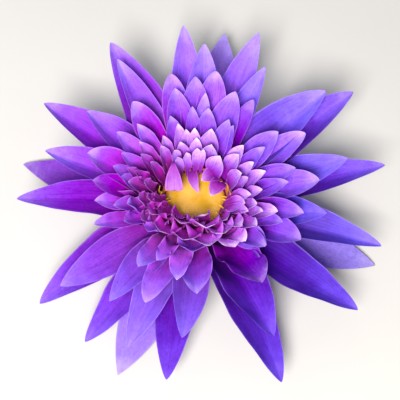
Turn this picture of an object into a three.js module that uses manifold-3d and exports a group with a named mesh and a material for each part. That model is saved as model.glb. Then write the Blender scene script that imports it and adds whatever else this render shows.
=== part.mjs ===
// A very full violet water lily, cut just under its head and set down on its sepals.
// Units are millimetres, +Z is up, and the flower's axis is vertical.
//
// Every petal is a thin closed leaf. Its midrib is a circular arc from a point just
// outside the ovary wall to its tip, and its section is a lens that is cupped upwards.
// The sepals and the three outer rows of petals are separate meshes. The petals of each
// inner row have grown together at their feet, so one such row is one mesh.

import * as THREE from "three";
import { mergeVertices } from "three/addons/utils/BufferGeometryUtils.js";
import Module from "manifold-3d";

const wasm = await Module();
wasm.setup();

// ---------------------------------------------------------------- driving dimensions

const GAP = 0.35; // clear space between two pieces that touch in the real flower

// The flower's axis stands a little off the middle of its outline, because the petals
// reach further to one side. The outline's middle is at the origin.
const AXIS = { x: -2, y: -6 };

const STEM = {
  radius: 5.6, // of the stalk, where it was cut
  height: 4.6, // from the cut end to the swelling of the ovary
  canalRing: 3.1, // radius of the ring of wide air canals in the stalk
  canalRadius: 0.75,
  canals: 6,
  canalDepth: 3,
  sides: 36,
};

const OVARY = {
  radius: 14, // of the upright wall that the inner rows grow on
  rim: 20, // height of the rim over the surface that the flower stands on
  cup: 12.6, // radius of the cup that holds the stigma
  cupFloor: 17,
  sides: 36,
};

const STIGMA = {
  edge: 1.5, // thickness at its rim
  hollow: 0.8, // how far its middle lies below its rim
  knob: { radius: 1.3, height: 1.2 },
};

const HORNS = {
  count: 26, // one horn on each chamber of the ovary
  length: 3.4,
  radius: 0.75,
  lean: 38, // degrees from upright, towards the axis
  ring: { radius: 13.1, width: 1.1, height: 0.7 },
};

// Sections along a leaf and points around one section: wide petals have more than small ones.
const FINE = { stations: 7, around: 8 };
const PLAIN = { stations: 6, around: 4 };

const VIOLET = { color: "#7a35d8", roughness: 0.55 };
const MAGENTA = { color: "#9a34cf", roughness: 0.55 };
const LILAC = { color: "#b873ea", roughness: 0.55 };

// A row of leaves. foot is where a midrib starts, as [radius, height]; arch is the
// midrib's turn in degrees, positive where its middle is raised; cup is how far the edges
// rise, as a share of the half width; widest is where the leaf is widest, as a share of
// its length; footWidth is the width at the foot, as a share of the widest part.
// Each leaf is [direction of its tip in degrees, reach from the axis, height of its tip,
// width, sideways bow of its middle, twist in degrees].
const SEPALS = {
  name: "sepal",
  foot: [11.2, 6.4],
  arch: 12,
  cup: 0.1,
  thickness: 1.0,
  widest: 0.5,
  footWidth: 0.42,
  grid: FINE,
  paint: { color: "#8a8fb8", roughness: 0.6 },
  leaves: [
    [90, 85, 7, 20, 0, 0],
    [173, 75, 0, 18, 0, 0],
    [256, 74, 0, 20, 0, 0],
    [354, 79, 0, 20, 0, 0],
  ],
};

const SEPARATE_ROWS = [
  {
    name: "outer_petal",
    foot: [12.9, 8.7],
    arch: 10,
    cup: 0.16,
    thickness: 0.9,
    widest: 0.52,
    footWidth: 0.26,
    grid: FINE,
    paint: VIOLET,
    leaves: [
      [20, 79, 24, 17, 0, -6],
      [44, 79, 30, 16, 1, -6],
      [79, 74, 34, 17, 0, -8],
      [104, 72, 34, 16, 0, 0],
      [129, 73, 32, 21, 0, 6],
      [159, 72, 28, 19, 0, 8],
      [192, 71, 22, 16, -1, 8],
      [224, 75, 16, 18, -2, 10],
      [244, 72, 15, 17, 1, 10],
      [271, 73, 14, 18, 0, 6],
      [304, 80, 14, 22, 0, -5],
      [334, 78, 18, 19, -1, -9],
      [355, 77, 20, 17, 1, -10],
    ],
  },
  {
    name: "second_petal",
    foot: [13.9, 10.2],
    arch: 10,
    cup: 0.2,
    thickness: 0.85,
    widest: 0.55,
    footWidth: 0.26,
    grid: FINE,
    paint: VIOLET,
    leaves: [
      [22, 62, 32, 16, 0, 4],
      [48, 67, 36, 18, 0, -6],
      [71, 58, 38, 12, 0, -6],
      [97, 61, 38, 16, 0, 6],
      [131, 63, 36, 13, 0, 6],
      [155, 54, 34, 16, 0, 9],
      [176, 62, 30, 16, 0, 8],
      [224, 64, 26, 15, 0, -8],
      [241, 57, 30, 13, 0, 0],
      [257, 67, 22, 15, 0, 4],
      [274, 59, 26, 16, 0, -10],
      [306, 65, 26, 17, 0, -6],
      [358, 52, 32, 15, 0, 8],
    ],
  },
  {
    name: "third_petal",
    foot: [14.6, 11.7],
    arch: 8,
    cup: 0.22,
    thickness: 0.8,
    widest: 0.58,
    footWidth: 0.26,
    grid: FINE,
    paint: MAGENTA,
    leaves: [
      [12, 48, 36, 14, 0, -5],
      [36, 48, 38, 14, 0, -5],
      [63, 47, 39, 11, 0, -5],
      [91, 48, 40, 13, 0, 5],
      [113, 48, 38, 13, 0, 5],
      [137, 43, 37, 13, 0, 2],
      [175, 45, 36, 14, 0, 5],
      [206, 45, 34, 13, 0, 6],
      [232, 45, 34, 12, 0, 6],
      [256, 50, 32, 14, 0, 6],
      [278, 45, 36, 13, 0, 6],
      [311, 47, 35, 15, 0, 6],
      [339, 46, 36, 14, 0, -5],
    ],
  },
];

// Inner rows: count leaves, the first at start degrees, evenly spaced but for a small
// irregularity. foot is the height of their feet; reach and tip are the mean reach and
// height of the tips.
const GROWN_ROWS = [
  {
    name: "fourth_row_of_petals",
    foot: 13.2, count: 13, start: 17, reach: 39.5, tip: 39, width: 11.5, twist: 5,
    arch: 8, cup: 0.24, thickness: 0.75, widest: 0.6, footWidth: 0.34,
    grid: FINE, paint: MAGENTA,
  },
  {
    name: "fifth_row_of_petals",
    foot: 14.7, count: 16, start: 11, reach: 31.5, tip: 39, width: 9, twist: 5,
    arch: 8, cup: 0.24, thickness: 0.7, widest: 0.62, footWidth: 0.38,
    grid: PLAIN, paint: MAGENTA,
  },
  {
    name: "sixth_row_of_petals",
    foot: 16.2, count: 17, start: 2, reach: 25.5, tip: 38, width: 7.5, twist: 6,
    arch: 4, cup: 0.24, thickness: 0.6, widest: 0.64, footWidth: 0.42,
    grid: PLAIN, paint: LILAC,
  },
  {
    name: "seventh_row_of_petals",
    foot: 17.9, count: 17, start: 14, reach: 20.3, tip: 36.5, width: 6, twist: 6,
    arch: -10, cup: 0.22, thickness: 0.5, widest: 0.66, footWidth: 0.46,
    grid: PLAIN, paint: LILAC,
  },
  {
    name: "innermost_row_of_petals",
    foot: 19.7, count: 14, start: 23, reach: 15.6, tip: 35.5, width: 4.8, twist: 6,
    arch: 44, cup: 0.2, thickness: 0.45, widest: 0.66, footWidth: 0.5,
    grid: PLAIN, paint: LILAC,
  },
];

const IRREGULAR = { turn: 2.5, reach: 0.9, tip: 0.9, width: 0.5 };
const BAND = { width: 0.45, height: 0.9 }; // the grown-together feet of an inner row

// ---------------------------------------------------------------------------- leaves

const UP = new THREE.Vector3(0, 0, 1);
const radians = THREE.MathUtils.degToRad;

// Half the width at a share u of the length, where 1 is half the widest part.
function outline(u, { widest, footWidth }) {
  if (u < widest) {
    const grown = Math.sin((Math.PI / 2) * (u / widest));
    return footWidth + (1 - footWidth) * grown;
  }
  return Math.cos((Math.PI / 2) * ((u - widest) / (1 - widest))) ** 0.85;
}

// Thickness at a share u of the length, as a share of the thickest part, which is halfway.
function fullness(u) {
  return 0.45 + 0.55 * Math.sin(Math.PI * Math.min(u * 1.2, 1 - 0.25 * u));
}

// The midrib at a share u of its length, as a point in the plane through the axis, with
// the direction in which it climbs there.
function midrib(u, foot, tip, arch) {
  const chord = Math.hypot(tip[0] - foot[0], tip[1] - foot[1]);
  const climb = Math.atan2(tip[1] - foot[1], tip[0] - foot[0]);
  const half = radians(arch) / 2 || 1e-6;
  const radius = chord / (2 * Math.sin(half));
  const from = climb + half;
  const to = from - 2 * half * u;
  return {
    out: foot[0] + radius * (Math.sin(from) - Math.sin(to)),
    up: foot[1] + radius * (Math.cos(to) - Math.cos(from)),
    climb: to,
  };
}

// Joins rings of points into one closed body, with a single point at each end.
function loftGeometry(rings, first, last) {
  const around = rings[0].length;
  const points = [...rings.flat(), first, last];
  const firstIndex = points.length - 2;
  const lastIndex = points.length - 1;
  const lastRing = firstIndex - around;
  const index = [];
  for (let j = 0; j < around; j += 1) {
    const k = (j + 1) % around;
    index.push(firstIndex, j, k);
    for (let here = 0; here < lastRing; here += around) {
      const next = here + around;
      index.push(here + j, next + k, here + k);
      index.push(here + j, next + j, next + k);
    }
    index.push(lastRing + j, lastIndex, lastRing + k);
  }
  const geometry = new THREE.BufferGeometry();
  geometry.setAttribute("position", new THREE.Float32BufferAttribute(points.flatMap((p) => [p.x, p.y, p.z]), 3));
  geometry.setIndex(index);
  return geometry;
}

// One petal or sepal. Twist, bow and cup all fade out towards the foot.
function leafGeometry(row, [direction, reach, height, width, bow, twist]) {
  const { stations, around } = row.grid;
  const outward = new THREE.Vector3(1, 0, 0).applyAxisAngle(UP, radians(direction));
  const sideways = new THREE.Vector3().crossVectors(UP, outward);
  const place = (out, across, up) => new THREE.Vector3(0, 0, up)
    .addScaledVector(outward, out)
    .addScaledVector(sideways, across);
  const rings = [];
  for (let i = 0; i < stations; i += 1) {
    const u = i / stations;
    const rib = midrib(u, row.foot, [reach, height], row.arch);
    const halfWidth = (width / 2) * outline(u, row);
    const ease = Math.sin((Math.PI / 2) * Math.min(1, 2 * u));
    const turn = radians(twist) * ease;
    const ring = [];
    for (let j = 0; j < around; j += 1) {
      const side = 1 - Math.abs(2 - (4 * j) / around); // from -1 on one edge to 1 on the other
      const face = j < around / 2 ? 1 : -1; // upper or lower
      const lens = face * (1 - side * side) * (row.thickness / 2) * fullness(u);
      const flat = halfWidth * side;
      const raised = row.cup * halfWidth * side * side * ease + lens;
      const across = flat * Math.cos(turn) - raised * Math.sin(turn) + bow * 4 * u * (1 - u);
      const lift = flat * Math.sin(turn) + raised * Math.cos(turn);
      ring.push(place(rib.out - lift * Math.sin(rib.climb), across, rib.up + lift * Math.cos(rib.climb)));
    }
    rings.push(ring);
  }
  return loftGeometry(rings, place(row.foot[0], 0, row.foot[1]), place(reach, 0, height));
}

// The leaves of an inner row, evenly spaced but for a small irregularity.
function grownLeaves(row) {
  return Array.from({ length: row.count }, (_, k) => [
    row.start + (360 * k) / row.count + IRREGULAR.turn * Math.sin(2.4 * k + row.count),
    row.reach + IRREGULAR.reach * Math.sin(1.7 * k + row.start),
    row.tip + IRREGULAR.tip * Math.cos(3.1 * k),
    row.width + IRREGULAR.width * Math.cos(1.3 * k),
    0,
    row.twist,
  ]);
}

// ------------------------------------------------------------------- joins and lathes

// The solid that a closed mesh bounds.
function toSolid(geometry) {
  const bare = geometry.clone();
  bare.deleteAttribute("normal");
  bare.deleteAttribute("uv");
  const merged = mergeVertices(bare, 1e-4);
  return new wasm.Manifold(new wasm.Mesh({
    numProp: 3,
    vertProperties: merged.attributes.position.array,
    triVerts: new Uint32Array(merged.index.array),
  }));
}

// The mesh that bounds a solid.
function toGeometry(solid) {
  const mesh = solid.getMesh();
  const geometry = new THREE.BufferGeometry();
  geometry.setAttribute("position", new THREE.BufferAttribute(mesh.vertProperties, 3));
  geometry.setIndex(new THREE.BufferAttribute(mesh.triVerts, 1));
  return geometry;
}

// A turned body about the flower's axis, from a profile of [radius, height] points.
function turned(profile, sides) {
  const outlinePoints = profile.map(([radius, height]) => new THREE.Vector2(radius, height));
  return new THREE.LatheGeometry(outlinePoints, sides).rotateX(Math.PI / 2);
}

// ---------------------------------------------------------------------------- pieces

// The stub of stalk, with its wide air canals open in the cut end.
function stemGeometry() {
  const { radius, height } = STEM;
  const stub = new THREE.CylinderGeometry(radius, radius, height - GAP, STEM.sides)
    .rotateX(Math.PI / 2).translate(0, 0, (height - GAP) / 2);
  let solid = toSolid(stub);
  for (let k = 0; k < STEM.canals; k += 1) {
    const turn = (2 * Math.PI * k) / STEM.canals;
    const canal = new THREE.CylinderGeometry(STEM.canalRadius, STEM.canalRadius, 2 * STEM.canalDepth, 12)
      .rotateX(Math.PI / 2).translate(STEM.canalRing * Math.cos(turn), STEM.canalRing * Math.sin(turn), 0);
    solid = solid.subtract(toSolid(canal));
  }
  return toGeometry(solid);
}

// The swollen ovary: a bowl on the stalk, with an upright wall and a cup in its top.
function ovaryGeometry() {
  const { radius, rim, cup, cupFloor } = OVARY;
  return turned([
    [0, STEM.height],
    [STEM.radius, STEM.height],
    [9.6, 6],
    [12.2, 8],
    [13.6, 10.6],
    [radius, 13],
    [radius, rim - 0.6],
    [radius - 0.5, rim],
    [cup + 0.2, rim],
    [cup, rim - 0.5],
    [cup, cupFloor + 0.4],
    [cup - 0.6, cupFloor],
    [0, cupFloor - STIGMA.hollow],
  ], OVARY.sides);
}

// The wet yellow stigma that fills the cup, dished, with a small knob in the middle.
function stigmaGeometry() {
  const radius = OVARY.cup - GAP;
  const floor = OVARY.cupFloor + GAP;
  const { edge, hollow, knob } = STIGMA;
  const middle = floor - hollow + edge;
  return turned([
    [0, floor - hollow],
    [radius - 0.6, floor],
    [radius, floor + 0.4],
    [radius, floor + edge],
    [radius - 0.8, floor + edge + 0.2],
    [radius * 0.5, middle + hollow * 0.25],
    [knob.radius, middle],
    [knob.radius * 0.8, middle + knob.height * 0.8],
    [0, middle + knob.height],
  ], OVARY.sides);
}

// The crown of small horns that lean in over the edge of the stigma.
function hornsGeometry() {
  const { count, length, radius, lean, ring } = HORNS;
  const foot = OVARY.rim + GAP;
  let solid = toSolid(turned([
    [ring.radius - ring.width / 2, foot],
    [ring.radius + ring.width / 2, foot],
    [ring.radius + ring.width / 2, foot + ring.height],
    [ring.radius - ring.width / 2, foot + ring.height],
    [ring.radius - ring.width / 2, foot],
  ], OVARY.sides));
  for (let k = 0; k < count; k += 1) {
    const horn = new THREE.ConeGeometry(radius, length, 6)
      .translate(0, length / 2, 0)
      .rotateX(Math.PI / 2)
      .rotateY(-radians(lean))
      .translate(ring.radius, 0, foot + ring.height * 0.4)
      .rotateZ((2 * Math.PI * k) / count);
    solid = solid.add(toSolid(horn));
  }
  return toGeometry(solid);
}

// One inner row: its leaves, joined at their feet by a low band round the ovary.
function grownRowGeometry(row) {
  const inner = OVARY.radius + GAP;
  const low = row.foot - BAND.height / 2;
  const band = turned([
    [inner, low],
    [inner + BAND.width, low],
    [inner + BAND.width, low + BAND.height],
    [inner, low + BAND.height],
    [inner, low],
  ], OVARY.sides);
  const placed = { ...row, foot: [inner + BAND.width / 2, row.foot] };
  const leaves = grownLeaves(row).map((leaf) => toSolid(leafGeometry(placed, leaf)));
  return toGeometry(leaves.reduce((joined, leaf) => joined.add(leaf), toSolid(band)));
}

// -------------------------------------------------------------------------- assembly

const flower = new THREE.Group();
flower.position.set(AXIS.x, AXIS.y, 0);

function addPiece(name, geometry, { color, roughness }) {
  const material = new THREE.MeshStandardMaterial({ color, roughness, metalness: 0 });
  const mesh = new THREE.Mesh(geometry, material);
  mesh.name = name;
  flower.add(mesh);
}

addPiece("stem_stub", stemGeometry(), { color: "#6f7a3c", roughness: 0.6 });
addPiece("ovary", ovaryGeometry(), { color: "#7d8a45", roughness: 0.6 });
addPiece("stigma", stigmaGeometry(), { color: "#d9a220", roughness: 0.25 });
addPiece("stigma_horns", hornsGeometry(), { color: "#d98a2a", roughness: 0.5 });

for (const row of [SEPALS, ...SEPARATE_ROWS]) {
  row.leaves.forEach((leaf, k) => {
    const number = String(k + 1).padStart(2, "0");
    addPiece(`${row.name}_${number}`, leafGeometry(row, leaf), row.paint);
  });
}

for (const row of GROWN_ROWS) {
  addPiece(row.name, grownRowGeometry(row), row.paint);
}

export default flower;
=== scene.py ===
"""A very full violet water lily, cut just under its head and standing on its sepals."""

import logging
import math
import random
from collections.abc import Callable, Iterator
from dataclasses import dataclass, field, replace
from enum import Enum
from functools import partial

import bpy
import numpy as np
from mathutils import Matrix, Vector


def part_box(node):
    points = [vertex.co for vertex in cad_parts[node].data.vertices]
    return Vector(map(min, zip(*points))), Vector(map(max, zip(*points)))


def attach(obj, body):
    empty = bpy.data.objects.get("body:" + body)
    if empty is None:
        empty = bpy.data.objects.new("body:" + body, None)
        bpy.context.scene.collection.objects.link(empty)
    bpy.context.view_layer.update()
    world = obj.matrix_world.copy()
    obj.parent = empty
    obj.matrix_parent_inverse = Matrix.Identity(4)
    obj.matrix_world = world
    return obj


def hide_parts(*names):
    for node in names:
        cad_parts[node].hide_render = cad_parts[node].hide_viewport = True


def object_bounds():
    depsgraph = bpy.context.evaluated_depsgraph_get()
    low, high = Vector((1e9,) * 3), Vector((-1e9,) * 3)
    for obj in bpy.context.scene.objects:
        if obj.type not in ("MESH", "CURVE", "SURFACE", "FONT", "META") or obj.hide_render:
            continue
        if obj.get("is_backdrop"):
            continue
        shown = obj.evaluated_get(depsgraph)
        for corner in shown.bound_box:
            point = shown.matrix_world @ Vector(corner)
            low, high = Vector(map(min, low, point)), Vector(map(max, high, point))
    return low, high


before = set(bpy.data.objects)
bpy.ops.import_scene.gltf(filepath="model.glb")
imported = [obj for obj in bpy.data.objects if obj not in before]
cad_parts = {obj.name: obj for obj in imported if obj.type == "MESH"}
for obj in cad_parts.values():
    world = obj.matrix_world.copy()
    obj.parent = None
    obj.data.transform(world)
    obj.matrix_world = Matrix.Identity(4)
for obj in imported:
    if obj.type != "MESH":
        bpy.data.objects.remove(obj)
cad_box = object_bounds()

MM = 0.001
BODY = "root"
LOG = logging.getLogger("water_lily")

Body = tuple[np.ndarray, list[list[int]]]  # points in millimetres about the axis, and faces
Profile = list[tuple[float, float]]  # radius and height of each point, in millimetres


# ------------------------------------------------------------------ small helpers


def linear(hex_colour: str) -> tuple[float, float, float, float]:
    """Turns an sRGB hex colour into a linear one.

    Args:
        hex_colour: a colour such as "#7a35d8".

    Returns:
        Red, green, blue and alpha, each from 0 to 1.
    """
    channels = [int(hex_colour[i:i + 2], 16) / 255 for i in (1, 3, 5)]
    bent = [c / 12.92 if c <= 0.04045 else ((c + 0.055) / 1.055) ** 2.4 for c in channels]
    return (bent[0], bent[1], bent[2], 1.0)


def cells(size_mm: float) -> float:
    """Scale of a texture whose cells are this many millimetres wide."""
    return 1 / (size_mm * MM)


def add_node(
    tree: bpy.types.NodeTree,
    kind: str,
    inputs: dict | tuple = (),
    out: int | str = 0,
    **settings: object,
) -> bpy.types.NodeSocket | None:
    """Adds a shader node, sets it up and links it.

    Args:
        tree: the node tree to add to.
        kind: the node's type, without the "ShaderNode" it begins with.
        inputs: values or output sockets for its inputs, in order or by name or number.
        out: the number or name of the output to return.
        settings: attributes of the node itself.

    Returns:
        The output asked for, or None from a node that has none.
    """
    node = tree.nodes.new("ShaderNode" + kind)
    for name, value in settings.items():
        setattr(node, name, value)
    pairs = inputs.items() if isinstance(inputs, dict) else enumerate(inputs)
    for key, value in pairs:
        if isinstance(value, bpy.types.NodeSocket):
            tree.links.new(value, node.inputs[key])
        else:
            node.inputs[key].default_value = value
    return node.outputs[out] if node.outputs else None


# A MapRange takes a value, its range, and the range that it is turned to: softly, with SMOOTH.
# A Mix of colours takes a mask as 0, the colour where it is dark as 6, and the other as 7.
SMOOTH = {"interpolation_type": "SMOOTHSTEP"}
BLEND = {"out": 2, "data_type": "RGBA"}
NOISE = (0.3, 0.7)  # nearly all values of a noise lie between these


def new_material(name: str) -> tuple[bpy.types.Material, Callable[..., bpy.types.NodeSocket]]:
    """Starts a node material with nothing in it.

    Args:
        name: the material's name.

    Returns:
        The material, and add_node for its own node tree.
    """
    material = bpy.data.materials.new(name)
    material.use_nodes = True
    material.node_tree.nodes.clear()
    return material, partial(add_node, material.node_tree)


def new_object(name: str, data: bpy.types.ID) -> bpy.types.Object:
    """Makes an object and puts it in the scene.

    Args:
        name: its name.
        data: its mesh, light or camera.

    Returns:
        The new object.
    """
    thing = bpy.data.objects.new(name, data)
    bpy.context.scene.collection.objects.link(thing)
    return thing


@dataclass(frozen=True)
class FlowerAxis:
    """Where the flower's upright axis stands, in metres.

    Args:
        x: its place along X.
        y: its place along Y.
    """

    x: float
    y: float

    @classmethod
    def from_frame(cls) -> "FlowerAxis":
        """Reads the axis off the round stalk."""
        low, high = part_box("stem_stub")
        return cls((low.x + high.x) / 2, (low.y + high.y) / 2)

    def mesh(self, name: str, body: Body) -> bpy.types.Mesh:
        """Makes a mesh of a body that is given about the axis.

        Args:
            name: the mesh's name.
            body: its points and its faces, which face out.

        Returns:
            The new mesh.
        """
        mesh = bpy.data.meshes.new(name)
        points = body[0] * MM + np.array([self.x, self.y, 0.0])
        mesh.from_pydata(points.tolist(), [], body[1])
        return mesh


AXIS = FlowerAxis.from_frame()


def new_piece(
    name: str,
    body: Body,
    node: str,
    attributes: dict[str, np.ndarray] | None = None,
) -> bpy.types.Object:
    """Makes a smooth piece that stands for a CAD node.

    Args:
        name: the piece's name.
        body: its points and faces.
        node: the CAD node it stands for.
        attributes: a value for every vertex, by name.

    Returns:
        The new piece.
    """
    mesh = AXIS.mesh(name, body)
    for key, values in (attributes or {}).items():
        layer = mesh.attributes.new(key, "FLOAT", "POINT")
        layer.data.foreach_set("value", np.asarray(values, np.float32))
    mesh.shade_smooth()
    piece = new_object(name, mesh)
    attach(piece, BODY)
    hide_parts(node)
    return piece


def tube_faces(stations: int, around: int, clockwise: bool = False) -> list[list[int]]:
    """Skins a stack of rings with quads, and closes each end with a fan of triangles.

    The rings' points are numbered first, then the point at the first end and the last.

    Args:
        stations: how many rings there are.
        around: points on a ring.
        clockwise: whether a ring runs clockwise as seen from past the last one.

    Returns:
        The faces, which face out.
    """
    ring = np.arange(stations * around).reshape(stations, around)
    beside = np.roll(ring, -1, axis=1)
    first, last = (np.full(around, stations * around + end) for end in (0, 1))
    faces = []
    for corners in (
        (ring[:-1], beside[:-1], beside[1:], ring[1:]),
        (first, beside[0], ring[0]),
        (last, ring[-1], beside[-1]),
    ):
        group = np.stack(corners, -1).reshape(-1, len(corners))
        if clockwise:
            group = np.roll(group[:, ::-1], 1, axis=1)
        faces += group.tolist()
    return faces


def merged(bodies: list[Body]) -> Body:
    """Joins bodies into one.

    Args:
        bodies: the bodies, in order.

    Returns:
        All their points, and all their faces with the points numbered anew.
    """
    starts = np.cumsum([0] + [len(points) for points, _ in bodies])
    faces = [
        [v + int(start) for v in face] for start, (_, skin) in zip(starts, bodies) for face in skin
    ]
    return np.vstack([points for points, _ in bodies]), faces


# ------------------------------------------------------------------------- leaves


@dataclass(frozen=True)
class Leaf:
    """One petal or sepal, by where its tip is.

    Args:
        direction: compass direction of its tip about the axis, in degrees.
        reach: distance of its tip from the axis, in millimetres.
        height: height of its tip over the table, in millimetres.
        width: its widest part, in millimetres.
        tone_and_shade: how light it is, mostly from 0 to 1, where that isn't left to chance.
        twist: how far its blade is turned about its midrib, in degrees.
        bow: how far its middle is bent sideways, in millimetres.
        arch: its midrib's own turn in degrees, where it differs from its row's.
        swing: how far it is swung round on its foot, in degrees.
        ruffle: its own share of its row's ruffles.
        fold: its own share of its row's fold along the midrib.
        foot: radius of its own foot, where it differs from its row's.
        crest: radius and height of the place where it is bent back, where it is.
    """

    direction: float
    reach: float
    height: float
    width: float
    # partly its own tone, partly painted shade or light for how light falls on the petal
    tone_and_shade: float | None = None
    twist: float = 0.0
    bow: float = 0.0
    arch: float | None = None
    swing: float = 0.0
    ruffle: float = 1.0
    fold: float = 1.0
    foot: float | None = None
    crest: tuple[float, float] | None = None

    def nearness(self, direction: float) -> float:
        """How nearly it points in a direction given in degrees, from 0 to 1."""
        return max(0.0, math.cos(math.radians(self.direction - direction)))


@dataclass(frozen=True)
class LeafForm:
    """What the leaves of one row have in common. Lengths are in millimetres.

    Args:
        foot: where a midrib starts, as radius and height.
        arch: the midrib's turn in degrees, positive where its middle is raised.
        cup: how far the edges rise, as a share of the half width.
        thickness: the thickest part.
        widest: where a leaf is widest, as a share of its length.
        foot_width: width at the foot, as a share of the widest part.
        wedge: how late it widens; 1 is at once.
        keel: depth of the fold along the midrib, as a share of the half width.
        ruffle: height of the waves along the edges.
        waves: how many waves an edge has.
        flute: height of the folds that run along the blade.
        hook: how far the last part of the tip is bent up.
        shoulder: how full the outline stays before its tip; 1 is a straight taper.
        blunt: how sharp the tip is; 1 is a sharp corner and 0.5 a round end.
        stations: sections along a leaf.
        around: points around one section.
    """

    foot: tuple[float, float]
    arch: float
    cup: float
    thickness: float
    widest: float
    foot_width: float
    wedge: float = 1.0
    keel: float = 0.12
    ruffle: float = 0.3
    waves: float = 2.5
    flute: float = 0.12
    hook: float = 0.8
    shoulder: float = 1.9
    blunt: float = 0.92
    stations: int = 48
    around: int = 40

    def midrib(self, u: np.ndarray, leaf: Leaf) -> tuple[np.ndarray, np.ndarray, np.ndarray]:
        """Follows a midrib, which is a circular arc unless it is bent back at its crest.

        Args:
            u: shares of its length.
            leaf: the leaf it belongs to.

        Returns:
            Distance from the axis, height, and angle of climb in radians.
        """
        if leaf.crest is not None:
            foot, crest, tip = map(np.array, (self.foot, leaf.crest, (leaf.reach, leaf.height)))
            pull = 2 * crest - (foot + tip) / 2
            u = np.asarray(u, float)[..., None]
            line = (1 - u) ** 2 * foot + 2 * u * (1 - u) * pull + u ** 2 * tip
            slope = (1 - u) * (pull - foot) + u * (tip - pull)
            return line[..., 0], line[..., 1], np.arctan2(slope[..., 1], slope[..., 0])
        out, up = leaf.reach - self.foot[0], leaf.height - self.foot[1]
        half = math.radians(self.arch if leaf.arch is None else leaf.arch) / 2
        radius = math.hypot(out, up) / (2 * math.sin(half))
        start = math.atan2(up, out) + half
        climb = start - 2 * half * u
        return (
            self.foot[0] + radius * (np.sin(start) - np.sin(climb)),
            self.foot[1] + radius * (np.cos(climb) - np.cos(start)),
            climb,
        )

    def outline(self, u: np.ndarray) -> np.ndarray:
        """Gives the outline of a leaf laid flat.

        Args:
            u: shares of its length.

        Returns:
            Half the width there, as a share of the widest part.
        """
        grown = np.sin(np.pi / 2 * np.minimum(u / self.widest, 1)) ** self.wedge
        narrowed = 1 - np.clip((u - self.widest) / (1 - self.widest), 0, 1) ** self.shoulder
        lower = self.foot_width + (1 - self.foot_width) * grown
        return np.where(u < self.widest, lower, narrowed ** self.blunt)


@dataclass(frozen=True)
class Relief:
    """The unevenness that every leaf has. Shares are of its length or its half width.

    Args:
        crowding: how much closer the sections lie towards the tip; 1 is evenly.
        eased: share of the length over which the blade takes on its full shape.
        foot_fullness: thickness at the foot, as a share of the thickest part.
        thickened: share of the length over which it grows to its thickest.
        thinned: how early it grows thinner again; 1 is from the foot on.
        tip_taper: share of the length over which the tip thins to nothing.
        keel_round: how round the fold along the midrib is, as a square of a share.
        keel_drop: depth of the fold's floor, as a share.
        second_wave: length and height of the short waves on an edge, against the long ones.
        ripple: height of the waves across the whole blade, against the edge's, and how
            many there are.
        flutes: how many folds run along the blade.
        hook_start: share of the length where the tip begins to bend up.
        lean: range of how much broader one half may be than the other, as a share.
        ruffle: range of the ruffles' own height.
        hook: range of the hook's own height.
        keel: range of the fold's own depth.
    """

    crowding: float = 1.3
    eased: float = 0.5
    foot_fullness: float = 0.45
    thickened: float = 1.2
    thinned: float = 0.25
    tip_taper: float = 1 / 9
    keel_round: float = 0.015
    keel_drop: float = 0.12
    second_wave: tuple[float, float] = (2.3, 0.3)
    ripple: tuple[float, float] = (0.5, 1.3)
    flutes: float = 1.6
    hook_start: float = 0.72
    lean: tuple[float, float] = (-0.08, 0.08)
    ruffle: tuple[float, float] = (0.6, 1.3)
    hook: tuple[float, float] = (0.2, 1.6)
    keel: tuple[float, float] = (0.5, 1.4)


RELIEF = Relief()


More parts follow.
